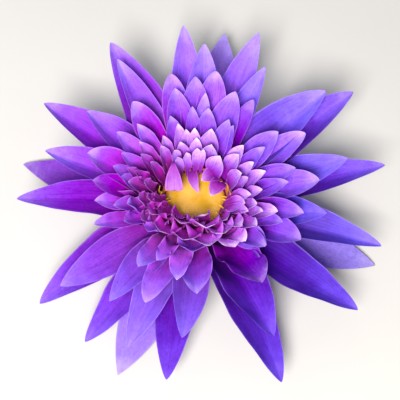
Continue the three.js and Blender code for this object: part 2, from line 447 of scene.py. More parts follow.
@dataclass
class LeafShape:
    """The closed blade of one leaf, thin at its edges and thicker at its midrib.

    Args:
        form: what its row has in common.
        leaf: the leaf itself.
        chance: source of its irregularities.
        cool_light_side: direction of the petals whose colours are coolest, in degrees.
        fade: how far it gets to its tip's pale colour, from 0 to 1.
    """

    form: LeafForm
    leaf: Leaf
    chance: random.Random
    cool_light_side: float
    fade: float
    body: Body = field(init=False)
    values: dict[str, np.ndarray] = field(init=False)

    def __post_init__(self) -> None:
        """Works out the points, the faces and the values that its finish reads."""
        stations, around = self.form.stations, self.form.around
        u = (1 - (1 - np.arange(stations) / stations) ** RELIEF.crowding)[:, None]
        j = np.arange(around)[None, :]
        side = np.sin(np.pi / 2 * (1 - np.abs(2 - 4 * j / around)))
        face = np.where(j < around / 2, 1.0, -1.0)
        points = self.place(self.blade(u, side, face))
        self.body = (points, tube_faces(stations, around, clockwise=True))
        every = np.ones((stations, around))
        turn = math.radians(self.leaf.direction - self.cool_light_side)
        tone_and_shade = self.chance.random()
        self.values = {
            "along": self.fade * np.append(every * u, [0.0, 1.0]),
            "across": np.append(every * side, [0.0, 0.0]),
            "face": np.append(every * (face > 0), [1.0, 1.0]),
            "tone_and_shade": np.full(len(points), tone_and_shade if self.leaf.tone_and_shade is None else self.leaf.tone_and_shade),
            # painted light: 1 on the side of the flower painted with cool sky light, 0 on the side
            # painted with warm light
            "side": np.full(len(points), 0.5 + 0.5 * math.cos(turn)),
        }

    def blade(self, u: np.ndarray, side: np.ndarray, face: np.ndarray) -> np.ndarray:
        """Shapes the blade.

        Args:
            u: share of the length at each section.
            side: place across a section, from -1 on one edge to 1 on the other.
            face: 1 on the upper face and -1 on the lower.

        Returns:
            Distance outwards, distance sideways and height of every point.
        """
        form, leaf, chance = self.form, self.leaf, self.chance
        lean = chance.uniform(*RELIEF.lean)
        phases = [chance.uniform(0, 2 * math.pi) for _ in range(3)]
        ruffle = form.ruffle * leaf.ruffle * chance.uniform(*RELIEF.ruffle)
        hook = form.hook * chance.uniform(*RELIEF.hook)
        keel = form.keel * leaf.fold * chance.uniform(*RELIEF.keel)

        # half the width, half the thickness, and the fold along the midrib
        ease = np.sin(np.pi / 2 * np.minimum(1, u / RELIEF.eased))
        half_width = leaf.width / 2 * form.outline(u) * (1 + lean * np.sin(2 * np.pi * u) * side)
        thick = np.sin(np.pi * np.minimum(u * RELIEF.thickened, 1 - RELIEF.thinned * u))
        fullness = RELIEF.foot_fullness + (1 - RELIEF.foot_fullness) * thick
        lens = face * np.sqrt(np.maximum(1 - side ** 2, 0)) * form.thickness / 2 * fullness
        lens = lens * np.minimum(1, (1 - u) / RELIEF.tip_taper) ** 0.5
        fold = keel * half_width * (np.sqrt(side ** 2 + RELIEF.keel_round) - RELIEF.keel_drop)

        # the waves of its edges, the waves and folds of its blade, and its bent tip
        turns = 2 * np.pi * form.waves * u + np.where(side > 0, phases[0], phases[1])
        quicker, lower = RELIEF.second_wave
        wave = ruffle * np.abs(side) ** 2 * (np.sin(turns) + lower * np.sin(quicker * turns))
        share, ripples = RELIEF.ripple
        ripple = share * ruffle * np.sin(2 * np.pi * ripples * u + phases[2])
        flutes = np.cos(2 * np.pi * RELIEF.flutes * side + phases[2])
        folds = form.flute * flutes * (1 - side ** 2) * (1 - u)
        curl = hook * np.clip((u - RELIEF.hook_start) / (1 - RELIEF.hook_start), 0, 1) ** 2
        cupped = form.cup * half_width * side ** 2

        turn = math.radians(leaf.twist) * ease
        flat = half_width * side
        raised = (cupped + fold + folds + (wave + ripple) * (1 - u ** 4)) * ease + curl + lens
        out, up, climb = form.midrib(u, leaf)
        sideways = flat * np.cos(turn) - raised * np.sin(turn) + leaf.bow * 4 * u * (1 - u)
        lift = flat * np.sin(turn) + raised * np.cos(turn)
        ring = np.stack([out - lift * np.sin(climb), sideways, up + lift * np.cos(climb)], -1)
        tip_out, tip_up, tip_climb = form.midrib(1.0, leaf)
        tip = [tip_out - hook * math.sin(tip_climb), 0.0, tip_up + hook * math.cos(tip_climb)]
        return np.vstack([ring.reshape(-1, 3), [form.foot[0], 0.0, form.foot[1]], tip])

    def place(self, blade: np.ndarray) -> np.ndarray:
        """Swings a blade round on its foot, and then turns it to its direction.

        Args:
            blade: distance outwards, distance sideways and height of every point.

        Returns:
            The points in millimetres about the axis.
        """
        foot = self.form.foot[0]
        out, sideways, up = blade.T
        out = out - foot
        for centre, degrees in ((foot, self.leaf.swing), (0.0, self.leaf.direction)):
            cos, sin = math.cos(math.radians(degrees)), math.sin(math.radians(degrees))
            out, sideways = centre + out * cos - sideways * sin, out * sin + sideways * cos
        return np.column_stack([out, sideways, up])


class Tissue(Enum):
    """The kinds of leaf, by the record's material slot."""

    SEPAL = "sepal"
    VIOLET = "violet_petal"
    MAGENTA = "magenta_petal"
    LILAC = "lilac_petal"


FRILLY_SIDE = 262.0  # direction of the most ruffled leaves, at the front, in degrees
BOW_PER_DEGREE = 0.1  # how far a leaf that chance has twisted is also bowed, in millimetres
ROUNDED_BY_BREADTH = 0.4  # how much rounder the tip of a broadened leaf is


@dataclass
class LeafRow:
    """A whorl of leaves that are shaped alike.

    Args:
        name: the CAD nodes' name, without a number.
        tissue: what they are made of.
        form: what they have in common.
        leaves: the leaves themselves.
        seed: start of the row's irregularities.
        joined: true where the whole row is one CAD node.
        frill: how much more ruffled the leaves at the front are.
        spread: how much more the leaves at the front bend outwards, in degrees.
        broad: how much broader the ends of the leaves at the front are.
        cool_light_side: direction of the leaf whose colours are coolest, in degrees.
        unruly: how far the leaves at the front are twisted by chance, in degrees.
        fade: how far its leaves get to their tips' pale colour, from 0 to 1.
        deep: how much less the leaves on the deep side fade, from 0 to 1.
        deep_side: direction of the leaf whose colours are deepest, in degrees.
        node: the CAD node it stands for, where its name isn't the row's.
    """

    name: str
    tissue: Tissue
    form: LeafForm
    leaves: list[Leaf]
    seed: int
    joined: bool = False
    frill: float = 1.2
    spread: float = 0.0
    broad: float = 0.0
    cool_light_side: float = -20.0
    unruly: float = 0.0
    fade: float = 1.0
    deep: float = 0.0
    deep_side: float = 215.0
    node: str = ""

    def build(self) -> list[bpy.types.Object]:
        """Makes a piece for each leaf, or one piece where the row has grown together.

        Returns:
            The new pieces.
        """
        chance = random.Random(self.seed)
        shapes = [
            LeafShape(
                self.form_of(leaf), self.disturb(leaf, chance), chance, self.cool_light_side,
                self.fade * (1 - self.deep * leaf.nearness(self.deep_side)),
            )
            for leaf in self.leaves
        ]
        if self.joined:
            return [self.join(self.name, self.node or self.name, shapes)]
        names = [f"{self.name}_{k + 1:02d}" for k in range(len(shapes))]
        return [self.join(name, name, [shape]) for name, shape in zip(names, shapes)]

    def disturb(self, leaf: Leaf, chance: random.Random) -> Leaf:
        """Twists and bows a leaf by chance, the more so the nearer it is to the front.

        Args:
            leaf: the leaf as it is given.
            chance: source of the row's irregularities.

        Returns:
            The leaf as it has grown.
        """
        most = self.unruly * leaf.nearness(FRILLY_SIDE)
        return replace(
            leaf,
            twist=leaf.twist + chance.uniform(-most, most),
            bow=leaf.bow + BOW_PER_DEGREE * chance.uniform(-most, most),
        )

    def form_of(self, leaf: Leaf) -> LeafForm:
        """Adapts the row's form to a leaf: leaves at the front are ruffled and spread.

        Args:
            leaf: the leaf.

        Returns:
            The leaf's form.
        """
        front, form = leaf.nearness(FRILLY_SIDE), self.form
        return replace(
            form,
            ruffle=form.ruffle * (1 + self.frill * front),
            arch=form.arch + self.spread * front,
            shoulder=form.shoulder * (1 + self.broad * front),
            blunt=form.blunt * (1 - ROUNDED_BY_BREADTH * self.broad * front),
            foot=form.foot if leaf.foot is None else (leaf.foot, form.foot[1]),
        )

    def join(self, name: str, node: str, shapes: list[LeafShape]) -> bpy.types.Object:
        """Makes one piece of some leaves.

        Args:
            name: the start of its name.
            node: the CAD node it stands for.
            shapes: its leaves.

        Returns:
            The new piece.
        """
        body = merged([shape.body for shape in shapes])
        values = {key: np.concatenate([s.values[key] for s in shapes]) for key in shapes[0].values}
        return new_piece(name + "_leaf", body, node, values)


# ---------------------------------------------------------------- pistil and stalk


def frame_sizes(node: str) -> tuple[float, float, float]:
    """Reads a round node's sizes off the frame.

    Args:
        node: the CAD node's name.

    Returns:
        Its radius, its lowest height and its highest, in millimetres.
    """
    low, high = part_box(node)
    return (high.x - low.x) / 2 / MM, low.z / MM, high.z / MM


def turned(profile: Profile, sides: int) -> Body:
    """Turns an outline about the axis into a closed body.

    Args:
        profile: the outline, counter-clockwise as seen with the axis on the left. It starts
            and ends on the axis.
        sides: how many sides the body has.

    Returns:
        The points, and the faces that join them.
    """
    angles = np.arange(sides) * 2 * np.pi / sides
    circle = np.column_stack([np.cos(angles), np.sin(angles)])
    rings = [np.column_stack([r * circle, np.full(sides, z)]) for r, z in profile[1:-1]]
    ends = np.array([[0, 0, profile[0][1]], [0, 0, profile[-1][1]]])
    return np.vstack(rings + [ends]), tube_faces(len(rings), sides)


def rounded(profile: Profile, times: int = 2, share: float = 0.25) -> Profile:
    """Cuts the corners of an outline, but keeps its ends.

    Args:
        profile: the outline.
        times: how many times its corners are cut.
        share: how much of each side a cut takes off at both its ends.

    Returns:
        The new outline.
    """
    rest = 1 - share
    for _ in range(times):
        cut = [profile[0]]
        for (r0, z0), (r1, z1) in zip(profile, profile[1:]):
            cut.append((rest * r0 + share * r1, rest * z0 + share * z1))
            cut.append((share * r0 + rest * r1, share * z0 + rest * z1))
        profile = cut + [profile[-1]]
    return profile


def finger(centre: np.ndarray, radii: np.ndarray, around: int) -> Body:
    """Makes a closed tapering tube round a bent centre line.

    Args:
        centre: points of the centre line, from its foot to its tip.
        radii: the tube's radius at each.
        around: points around the tube.

    Returns:
        The points, and the faces that join them.
    """
    along = np.gradient(centre, axis=0)
    along /= np.linalg.norm(along, axis=1)[:, None]
    across = np.cross(along, [0.3, 0.2, 1.0])  # a direction that no centre line keeps to
    across /= np.linalg.norm(across, axis=1)[:, None]
    other = np.cross(along, across)
    angles = np.arange(around) * 2 * np.pi / around
    rings = (
        centre[:, None]
        + radii[:, None, None] * np.cos(angles)[None, :, None] * across[:, None]
        + radii[:, None, None] * np.sin(angles)[None, :, None] * other[:, None]
    )
    points = np.vstack([rings.reshape(-1, 3), centre[0], centre[-1] + along[-1] * radii[-1]])
    return points, tube_faces(len(centre), around)


@dataclass
class Pistil:
    """Ovary, stigma and the crown of horns, in millimetres.

    Args:
        carpels: how many chambers the ovary has, each with a ray and a horn.
        sides: sides of ovary and stigma to each chamber.
        wall: outline of the ovary's wall, as shares of its radius and heights over its foot.
        lip: how far down and out the ovary's rim is rounded.
        edge: how far its edges are cut back.
        hollow: depth of the rim's inner rounding.
        gap: room round the stigma and under it.
        fillet: rounding at the bottom of the ovary's cup.
        rib: how far the ovary's ribs stand out.
        rib_start: share of its radius where they begin.
        rib_growth: share of its radius over which they grow.
        dish: how deep the stigma is dished.
        dish_rings: rings of points in the dish.
        stigma_edge: how far in, up and down the stigma's edge is rounded.
        ray: how far the stigma's rays stand up.
        ray_start: share of its radius where they begin.
        ray_growth: share of its radius over which they grow.
        even_edge: share of its radius past which it has no relief.
        even_foot: height over its foot under which it has none.
        knob: height and radius of the knob in the stigma's middle.
        swell: how uneven the stigma is.
        swell_turns: how fast that changes along X and Y, in radians per millimetre.
        ring: half the width and half the height of the ring that the horns grow from.
        ring_inset: how far the middle of its section lies inside the horns' outer edge.
        ring_points: points around the ring's section.
        ring_sides: sides of the ring to each chamber.
        horn_length: length of a horn.
        horn_radius: radius of a horn at its foot.
        horn_lean: lean of a horn's foot towards the axis, in degrees.
        horn_curl: how much further its tip leans, in degrees.
        horn_foot: height of the horns' feet over the lowest point of the ring.
        horn_taper: how late a horn tapers; 1 is at once.
        horn_tip: area of its section at the tip, as a share of the foot's.
        horn_stations: sections along a horn.
        horn_around: points around a horn.
        length_range: range of a horn's own length, against the usual one.
        curl_range: range of its own curl.
        girth_range: range of its own thickness.
        shift_range: range of its place, in chambers.
        strays: tips of the few stamens left between the petals, as direction in degrees,
            distance from the axis and height.
        stray_bulge: how far out and down the middle of a stamen is bent.
        stray_sway: how far a stamen sways round the axis, in degrees, and how quickly.
        stray_girth: a stamen's thickness against a horn's, how uneven it is, and how quickly
            that changes.
        seed: start of its irregularities.
    """

    carpels: int = 26
    sides: int = 6
    wall: tuple[tuple[float, float], ...] = ((0.69, 1.4), (0.87, 3.4), (0.97, 6.0), (1.0, 9.0))
    lip: float = 0.6
    edge: float = 0.4
    hollow: float = 0.5
    gap: float = 0.35
    fillet: float = 0.3
    rib: float = 0.16
    rib_start: float = 0.75
    rib_growth: float = 0.2
    dish: float = 1.0
    dish_rings: int = 22
    stigma_edge: tuple[float, float, float] = (0.6, 0.4, 0.3)
    ray: float = 0.03
    ray_start: float = 0.21875
    ray_growth: float = 0.625
    even_edge: float = 0.97
    even_foot: float = 0.5
    knob: tuple[float, float] = (0.15, 1.4)
    swell: float = 0.12
    swell_turns: tuple[float, float] = (0.735, 0.595)
    ring: tuple[float, float] = (0.5, 0.35)
    ring_inset: float = 0.55
    ring_points: int = 12
    ring_sides: int = 4
    horn_length: float = 3.6
    horn_radius: float = 0.48
    horn_lean: float = 12.0
    horn_curl: float = 60.0
    horn_foot: float = 0.3
    horn_taper: float = 2.2
    horn_tip: float = 0.03
    horn_stations: int = 9
    horn_around: int = 10
    length_range: tuple[float, float] = (0.5, 1.3)
    curl_range: tuple[float, float] = (0.6, 1.2)
    girth_range: tuple[float, float] = (0.8, 1.1)
    shift_range: tuple[float, float] = (-0.35, 0.35)
    strays: tuple[tuple[float, float, float], ...] = (
        (307, 15.5, 30.5), (301, 16.5, 29.0), (289, 18.6, 30.5), (293, 20.0, 29.5),
        (4, 12.6, 30.0), (9, 13.2, 28.5), (20, 11.5, 30.0), (181, 14.5, 29.5), (187, 13.6, 27.0),
    )
    stray_bulge: tuple[float, float] = (0.9, -0.6)
    stray_sway: tuple[float, float] = (6.0, 2.5)
    stray_girth: tuple[float, float, float] = (0.9, 0.4, 6.0)
    seed: int = 5

    def build(self) -> dict[str, bpy.types.Object]:
        """Makes the pieces.

        Returns:
            The pieces, by the names of their finishes.
        """
        return {
            "ovary": self.build_ovary(),
            "stigma": self.build_stigma(),
            "horns": self.build_horns(),
        }

    def build_ovary(self) -> bpy.types.Object:
        """Makes the ribbed bowl that carries everything.

        Returns:
            The piece.
        """
        wall, low, rim = frame_sizes("ovary")
        cup, cup_floor, _ = frame_sizes("stigma")
        stalk = frame_sizes("stem_stub")[0]
        profile = rounded([
            (0, low), (stalk, low), *((share * wall, low + up) for share, up in self.wall),
            (wall, rim - self.lip), (wall - self.edge, rim),
            (cup + self.lip, rim), (cup + self.gap, rim - self.hollow),
            (cup + self.gap, cup_floor + self.fillet),
            (cup - self.edge, cup_floor - self.fillet), (0, cup_floor - self.gap),
        ])
        points, faces = turned(profile, self.carpels * self.sides)
        angle = np.arctan2(points[:, 1], points[:, 0])
        share = np.hypot(points[:, 0], points[:, 1]) / wall
        on_wall = np.clip((share - self.rib_start) / self.rib_growth, 0, 1)
        shrink = 1 - self.rib / wall * on_wall * (0.5 - 0.5 * np.cos(self.carpels * angle))
        points[:, :2] *= shrink[:, None]
        return new_piece("ovary_bowl", (points, faces), "ovary")

    def build_stigma(self) -> bpy.types.Object:
        """Makes the dished disc, with a ray to each chamber.

        Returns:
            The piece.
        """
        radius, low, high = frame_sizes("stigma")
        inward, up, down = self.stigma_edge
        shares = 1 - np.arange(1, self.dish_rings + 1) / self.dish_rings
        dish = [(radius * share, high - self.dish * (1 - share ** 2)) for share in shares]
        profile = [(0, low), (radius - inward, low), (radius, low + up), (radius, high - down)]
        points, faces = turned(profile + dish, self.carpels * self.sides)
        x, y, z = points.T
        share = np.hypot(x, y) / radius
        growth = np.clip((share - self.ray_start) / self.ray_growth, 0, 1)
        rays = self.ray * np.cos(self.carpels * np.arctan2(y, x)) * growth
        knob, knob_radius = self.knob
        knob = knob * np.exp(-((share * radius / knob_radius) ** 2))
        along_x, along_y = self.swell_turns
        swell = self.swell * np.sin(along_x * x + 1) * np.cos(along_y * y)
        relief = (rays + swell) * (share < self.even_edge) + knob
        points[:, 2] += np.where(z > low + self.even_foot, relief, 0)
        return new_piece("stigma_disc", (points, faces), "stigma")

    def build_horns(self) -> bpy.types.Object:
        """Makes a ring on the ovary's rim, a curved horn over each chamber and the strays.

        Returns:
            The piece.
        """
        outer, low, _ = frame_sizes("stigma_horns")
        ring_radius = outer - self.ring_inset
        bodies = [self.horn_ring(ring_radius, low + self.ring[1])]
        along = [np.zeros(len(bodies[0][0]))]
        u = np.arange(self.horn_stations) / (self.horn_stations - 1)
        radii = self.horn_radius * np.sqrt(np.maximum(1 - u ** self.horn_taper, self.horn_tip))
        foot = np.array([ring_radius, low + self.horn_foot])
        for centre, thickness in (*self.horns(u, foot), *self.stamens(u, foot)):
            bodies.append(finger(centre, radii * thickness, self.horn_around))
            along.append(np.append(np.repeat(u, self.horn_around), [0.0, 1.0]))
        values = {"along": np.concatenate(along)}
        return new_piece("horn_crown", merged(bodies), "stigma_horns", values)

    def horn_ring(self, radius: float, height: float) -> Body:
        """Makes the ring that the horns grow from.

        Args:
            radius: radius of the middle of its section.
            height: height of the middle of its section.

        Returns:
            The points, and the faces that join them.
        """
        tilt = np.linspace(0, 2 * np.pi, self.ring_points + 1)[:-1]
        out, up = radius + self.ring[0] * np.cos(tilt), height + self.ring[1] * np.sin(tilt)
        sides = self.carpels * self.ring_sides
        angles = np.arange(sides) * 2 * np.pi / sides
        turns = (np.cos(angles), np.sin(angles), np.ones(sides))
        points = np.stack([np.outer(turn, at) for turn, at in zip(turns, (out, out, up))], -1)
        number = np.arange(sides * self.ring_points).reshape(sides, -1)
        ahead, above = np.roll(number, -1, 0), np.roll(number, -1, 1)
        corners = (number, ahead, np.roll(above, -1, 0), above)
        return points.reshape(-1, 3), np.stack(corners, -1).reshape(-1, 4).tolist()

    def horns(self, u: np.ndarray, foot: np.ndarray) -> Iterator[tuple[np.ndarray, float]]:
        """Draws the horns, one over each chamber.

        Args:
            u: shares of a horn's length.
            foot: radius and height of the horns' feet.

        Yields:
            Each horn's centre line, and its thickness against the usual one.
        """
        chance = random.Random(self.seed)
        for k in range(self.carpels):
            length = self.horn_length * chance.uniform(*self.length_range)
            curl = self.horn_curl * u * chance.uniform(*self.curl_range)
            lean = np.radians(self.horn_lean + curl)
            step = length / (len(u) - 1)
            out = foot[0] - np.append(0, np.cumsum(np.sin(lean[1:]) * step))
            up = foot[1] + np.append(0, np.cumsum(np.cos(lean[1:]) * step))
            a = 2 * math.pi * (k + chance.uniform(*self.shift_range)) / self.carpels
            centre = np.column_stack([out * math.cos(a), out * math.sin(a), up])
            yield centre, chance.uniform(*self.girth_range)

    def stamens(self, u: np.ndarray, foot: np.ndarray) -> Iterator[tuple[np.ndarray, np.ndarray]]:
        """Draws the few stamens left between the petals.

        Args:
            u: shares of a stamen's length.
            foot: radius and height of the stamens' feet.

        Yields:
            Each stamen's centre line, and its thickness against a horn's.
        """
        sway, quickness = self.stray_sway
        share, uneven, turns = self.stray_girth
        for direction, reach, height in self.strays:
            bulge = np.outer(np.sin(np.pi * u), self.stray_bulge)
            out, up = (foot + np.outer(u, np.array([reach, height]) - foot) + bulge).T
            a = np.radians(direction + sway * np.sin(quickness * u))
            centre = np.column_stack([out * np.cos(a), out * np.sin(a), up])
            yield centre, share * (1 + uneven * np.sin(turns * u))


@dataclass
class Stalk:
    """The stub of stalk under the flower, cut straight across, in millimetres.

    Args:
        sides: how many sides it has.
        edge: how far its cut edge is rounded.
        top_edge: how far its upper edge is rounded.
        waist: how much thinner it is halfway up.
        canals: its rings of open air canals, wide and fine. Each is how many canals it has,
            its share of the stalk's radius, and the canals' radius.
        canal_sides: how many sides a canal has.
        depth: how deep the canals are open.
        past: how far their cutters stand out under the cut.
        sharp: least angle of an edge that isn't shaded smooth, in degrees.
    """

    sides: int = 72
    edge: float = 0.25
    top_edge: float = 0.2
    waist: float = 0.15
    canals: tuple[tuple[int, float, float], ...] = ((6, 0.55, 0.75), (14, 0.84, 0.28))
    canal_sides: int = 20
    depth: float = 3.0
    past: float = 1.0
    sharp: float = 40.0

    def build(self) -> bpy.types.Object:
        """Makes the stub and cuts its canals.

        Returns:
            The piece.
        """
        radius, low, high = frame_sizes("stem_stub")
        body = turned([
            (0, low), (radius - self.edge, low), (radius, low + self.edge),
            (radius - self.waist, (low + high) / 2),
            (radius, high - self.top_edge), (radius - self.top_edge, high), (0, high),
        ], self.sides)
        stub = new_piece("stalk_stub", body, "stem_stub")
        cutters = [
            self.canal(2 * math.pi * k / count, share * radius, canal_radius)
            for count, share, canal_radius in self.canals
            for k in range(count)
        ]
        for cutter in cutters:
            cut = stub.modifiers.new("canal", "BOOLEAN")
            cut.operation, cut.solver, cut.object = "DIFFERENCE", "EXACT", cutter
        graph = bpy.context.evaluated_depsgraph_get()
        drilled = bpy.data.meshes.new_from_object(stub.evaluated_get(graph))
        stub.modifiers.clear()
        stub.data = drilled
        for cutter in cutters:
            bpy.data.objects.remove(cutter)
        drilled.set_sharp_from_angle(angle=math.radians(self.sharp))
        return stub

    def canal(self, angle: float, out: float, radius: float) -> bpy.types.Object:
        """Makes the cutter of one canal.

        Args:
            angle: its direction about the axis, in radians.
            out: its distance from the axis.
            radius: its radius.

        Returns:
            The cutter, which is no piece of the flower.
        """
        profile = [(0, -self.past), (radius, -self.past), (radius, self.depth), (0, self.depth)]
        points, faces = turned(profile, self.canal_sides)
        points += np.array([out * math.cos(angle), out * math.sin(angle), 0])
        return new_object("canal_cutter", AXIS.mesh("canal_cutter", (points, faces)))


# ----------------------------------------------------------------------- finishes


@dataclass(frozen=True)
class PetalFinish:
    """Living petal, a thin sheet of spongy tissue under a velvety skin.

    It is satin rather than glossy, glows where light comes through it, and has fine
    veins that run from foot to tip.

    Args:
        name: the material's name.
        root: colour where it leaves the cup of the flower: its own deep base, darkened with painted
            shade where it lies deep among the other petals.
        warm_foot: colour at the foot on the side of the flower painted with warm light.
        cool_foot: colour at the foot on the side painted with cool sky light.
        warm: colour of the blade on the warm side.
        cool: colour of the blade on the cool side.
        warm_tip: colour of the tip on the warm side.
        cool_tip: colour of the tip on the cool side.
        rim: colour of the edge: partly the thin edge's own paler colour, partly a painted highlight
            where the edge catches the light.
        point: colour of the very tip: partly its own pale tip, partly a painted highlight where the
            tip catches the light.
        vein: colour of the veins and the midrib.
        back: colour that the outer face tends to: its own duller colour, darkened on the inner rows
            with painted shade.
        root_reach: share of the length where the root's colour has faded out.
        foot_start: share of the length where the foot's colour starts to fade.
        foot_reach: share of the length where the foot's colour has faded out.
        tip_start: share of the length where the tip's colour begins.
        tip_full: share of the length where it is full, for a leaf that fades all the way.
        warm_reach: how much further up foot and tip lie on the warm side.
        point_start: share of the length where the point's colour begins.
        rim_start: share of the half width where the edge's colour begins.
        crease_width: share of the half width that the midrib's colour takes up.
        rim_share: how much of the edge's colour shows.
        point_share: how much of the point's colour shows at the very tip.
        veins: how many veins half the blade has.
        vein_width: how wide they are; 1 leaves no room between them.
        vein_share: how strongly the veins are coloured.
        vein_start: share of the length where they begin to fade.
        vein_end: share of the length where they have faded the most.
        vein_left: what is left of them there.
        crease_share: how strongly the midrib is coloured, partly its own colour and partly painted
            shade in its crease.
        streak_share: how strongly the short streaks are coloured.
        back_share: how much of the outer face's colour shows.
        cloud_mm: width of the soft clouds that let its colours drift.
        drift: how far they drift, as a share of the length.
        cloud_light: how much lighter the clouds are than the rest.
        wander_mm: width of the waves in its veins.
        wander: how far a vein wanders, where pi is from one vein to the next.
        grain_mm: width of its grain. Its cells are some 0.03 mm wide, too fine to show.
        grain_light: how much lighter the grain's light spots are than its dark ones.
        relief_mm: depth of veins and grain.
        across_streaks: how many streaks lie side by side.
        along_streaks: how many follow one another along the blade.
        streak_values: noise over which a streak comes up.
        streak_seed: how far the streaks of two petals of unlike tint lie apart.
        streak_bend: how much the clouds bend them.
        tint_hue: what a petal's tint does to its hue, and the hue without it.
        tint_richness: the same for how rich its colour is.
        tint_light: the same for how light it is.
        roughness: of its smoothest spots and its roughest.
        glow: how much of the light on it comes through.
    """

    name: str
    root: str
    warm_foot: str
    cool_foot: str
    warm: str
    cool: str
    warm_tip: str
    cool_tip: str
    rim: str
    point: str
    vein: str
    back: str
    root_reach: float = 0.6
    foot_start: float = 0.26
    foot_reach: float = 0.8
    tip_start: float = 0.5
    tip_full: float = 1.02
    warm_reach: float = 0.0
    point_start: float = 0.83
    rim_start: float = 0.86
    crease_width: float = 0.16
    rim_share: float = 0.35
    point_share: float = 0.3
    veins: int = 7
    vein_width: float = 0.6
    vein_share: float = 0.3
    vein_start: float = 0.1
    vein_end: float = 0.95
    vein_left: float = 0.25
    crease_share: float = 0.4
    streak_share: float = 0.2
    back_share: float = 0.5
    cloud_mm: float = 7.0
    drift: float = 0.24
    cloud_light: float = 0.2
    wander_mm: float = 12.0
    wander: float = 3.0
    grain_mm: float = 1.2
    grain_light: float = 0.7
    relief_mm: float = 0.18
    across_streaks: float = 7.0
    along_streaks: float = 5.0
    streak_values: tuple[float, float] = (0.5, 0.72)
    streak_seed: float = 40.0
    streak_bend: float = 4.0
    tint_hue: tuple[float, float] = (-0.01, 0.505)
    tint_richness: tuple[float, float] = (-0.14, 1.1)
    tint_light: tuple[float, float] = (0.4, 0.66)
    roughness: tuple[float, float] = (0.42, 0.58)
    glow: float = 0.3

    def build(self) -> bpy.types.Material:
        """Makes the material.

        Returns:
            The material.
        """
        material, add = new_material(self.name)
        along, across, face, tone_and_shade, side = (
            add("Attribute", out="Fac", attribute_name=key)
            for key in ("along", "across", "face", "tone_and_shade", "side")
        )
        place = add("TexCoord", out="Object")
        clouds = add("TexNoise", {"Vector": place, "Scale": cells(self.cloud_mm), "Detail": 3.0})
        grain = add(
            "TexNoise",
            {"Vector": place, "Scale": cells(self.grain_mm), "Detail": 4.0, "Roughness": 0.65},
        )
        wander = add("TexNoise", {"Vector": place, "Scale": cells(self.wander_mm), "Detail": 1.0})

        # foot, blade and tip run into one another unevenly
        drift = add("Math", (clouds, self.drift, -self.drift / 2), operation="MULTIPLY_ADD")
        height = add("Math", (along, drift), operation="ADD")
        # painted light: each colour turns from warm to cool with the side value, as if cool sky
        # light fell on one side of the flower and warm light on the other
        foot, blade, tip = (
            add("Mix", {0: side, 6: linear(warm), 7: linear(cool)}, **BLEND)
            for warm, cool in (
                (self.warm_foot, self.cool_foot),
                (self.warm, self.cool),
                (self.warm_tip, self.cool_tip),
            )
        )
        reach = self.warm_reach
        level = add("Math", (side, reach, height), operation="MULTIPLY_ADD")
        past_root, near_tip, past_foot = (
            add("MapRange", (value, start, end, least), **SMOOTH)
            for value, start, end, least in (
                (height, self.root_reach / 3, self.root_reach, side),
                (level, self.tip_start + reach, self.tip_full + reach, 0.0),
                (level, self.foot_start + reach, self.foot_reach + reach, 0.0),
            )
        )
        # the root's colour is partly the petals' own deep base and partly painted shade, dark where
        # their feet lie deep in the flower
        foot = add("Mix", {0: past_root, 6: linear(self.root), 7: foot}, **BLEND)
        colour = add("Mix", {0: near_tip, 6: blade, 7: tip}, **BLEND)
        colour = add("Mix", {0: past_foot, 6: foot, 7: colour}, **BLEND)

        # veins are lines of one share of the width, a little wavy
        phase = add("Math", (wander, self.wander), operation="MULTIPLY")
        phase = add("Math", (across, math.pi * self.veins, phase), operation="MULTIPLY_ADD")
        wave = add("Math", (phase,), operation="SINE")
        wave = add("Math", (wave,), operation="ABSOLUTE")
        from_middle = add("Math", (across,), operation="ABSOLUTE")
        vein, crease, rim, point = (
            add("MapRange", (value, start, end, first, last), **SMOOTH)
            for value, start, end, first, last in (
                (wave, 0.0, self.vein_width, 1.0, 0.0),
                # the midrib's colour is partly its own and partly painted shade in its crease
                (from_middle, 0.0, self.crease_width, self.crease_share, 0.0),
                # the pale rim is partly the thin edge's own colour and partly a painted highlight
                # where it catches light
                (from_middle, self.rim_start, 1.0, 0.0, self.rim_share),
                # the pale point is partly the tip's own colour and partly a painted highlight
                (height, self.point_start, 1.0, 0.0, self.point_share),
            )
        )
        fading = add("MapRange", (along, self.vein_start, self.vein_end, 1.0, self.vein_left))
        vein = add("Math", (vein, fading), operation="MULTIPLY")
        coloured_vein = add("Math", (vein, self.vein_share), operation="MULTIPLY")
        crease = add("Math", (crease, fading), operation="MULTIPLY")

        # short streaks follow the blade, and each petal has its own
        across_streak = add("Math", (across, self.across_streaks), operation="MULTIPLY")
        along_streak = add("Math", (along, self.along_streaks), operation="MULTIPLY")
        apart = add("Math", (tone_and_shade, self.streak_seed), operation="MULTIPLY")
        apart = add("Math", (clouds, self.streak_bend, apart), operation="MULTIPLY_ADD")
        blade_place = add("CombineXYZ", (across_streak, along_streak, apart))
        streaks = add(
            "TexNoise", {"Vector": blade_place, "Scale": 1.0, "Detail": 4.0, "Roughness": 0.6}
        )
        streak = add("MapRange", (streaks, *self.streak_values, 0.0, self.streak_share))

        # the outer face's colour is its own duller colour, darkened on the inner rows with painted
        # shade
        outer = add("Math", (face, -self.back_share, self.back_share), operation="MULTIPLY_ADD")
        for mask, paint in (
            (outer, self.back), (coloured_vein, self.vein), (crease, self.vein),
            (streak, self.vein), (rim, self.rim), (point, self.point),
        ):
            colour = add("Mix", {0: mask, 6: colour, 7: linear(paint)}, **BLEND)

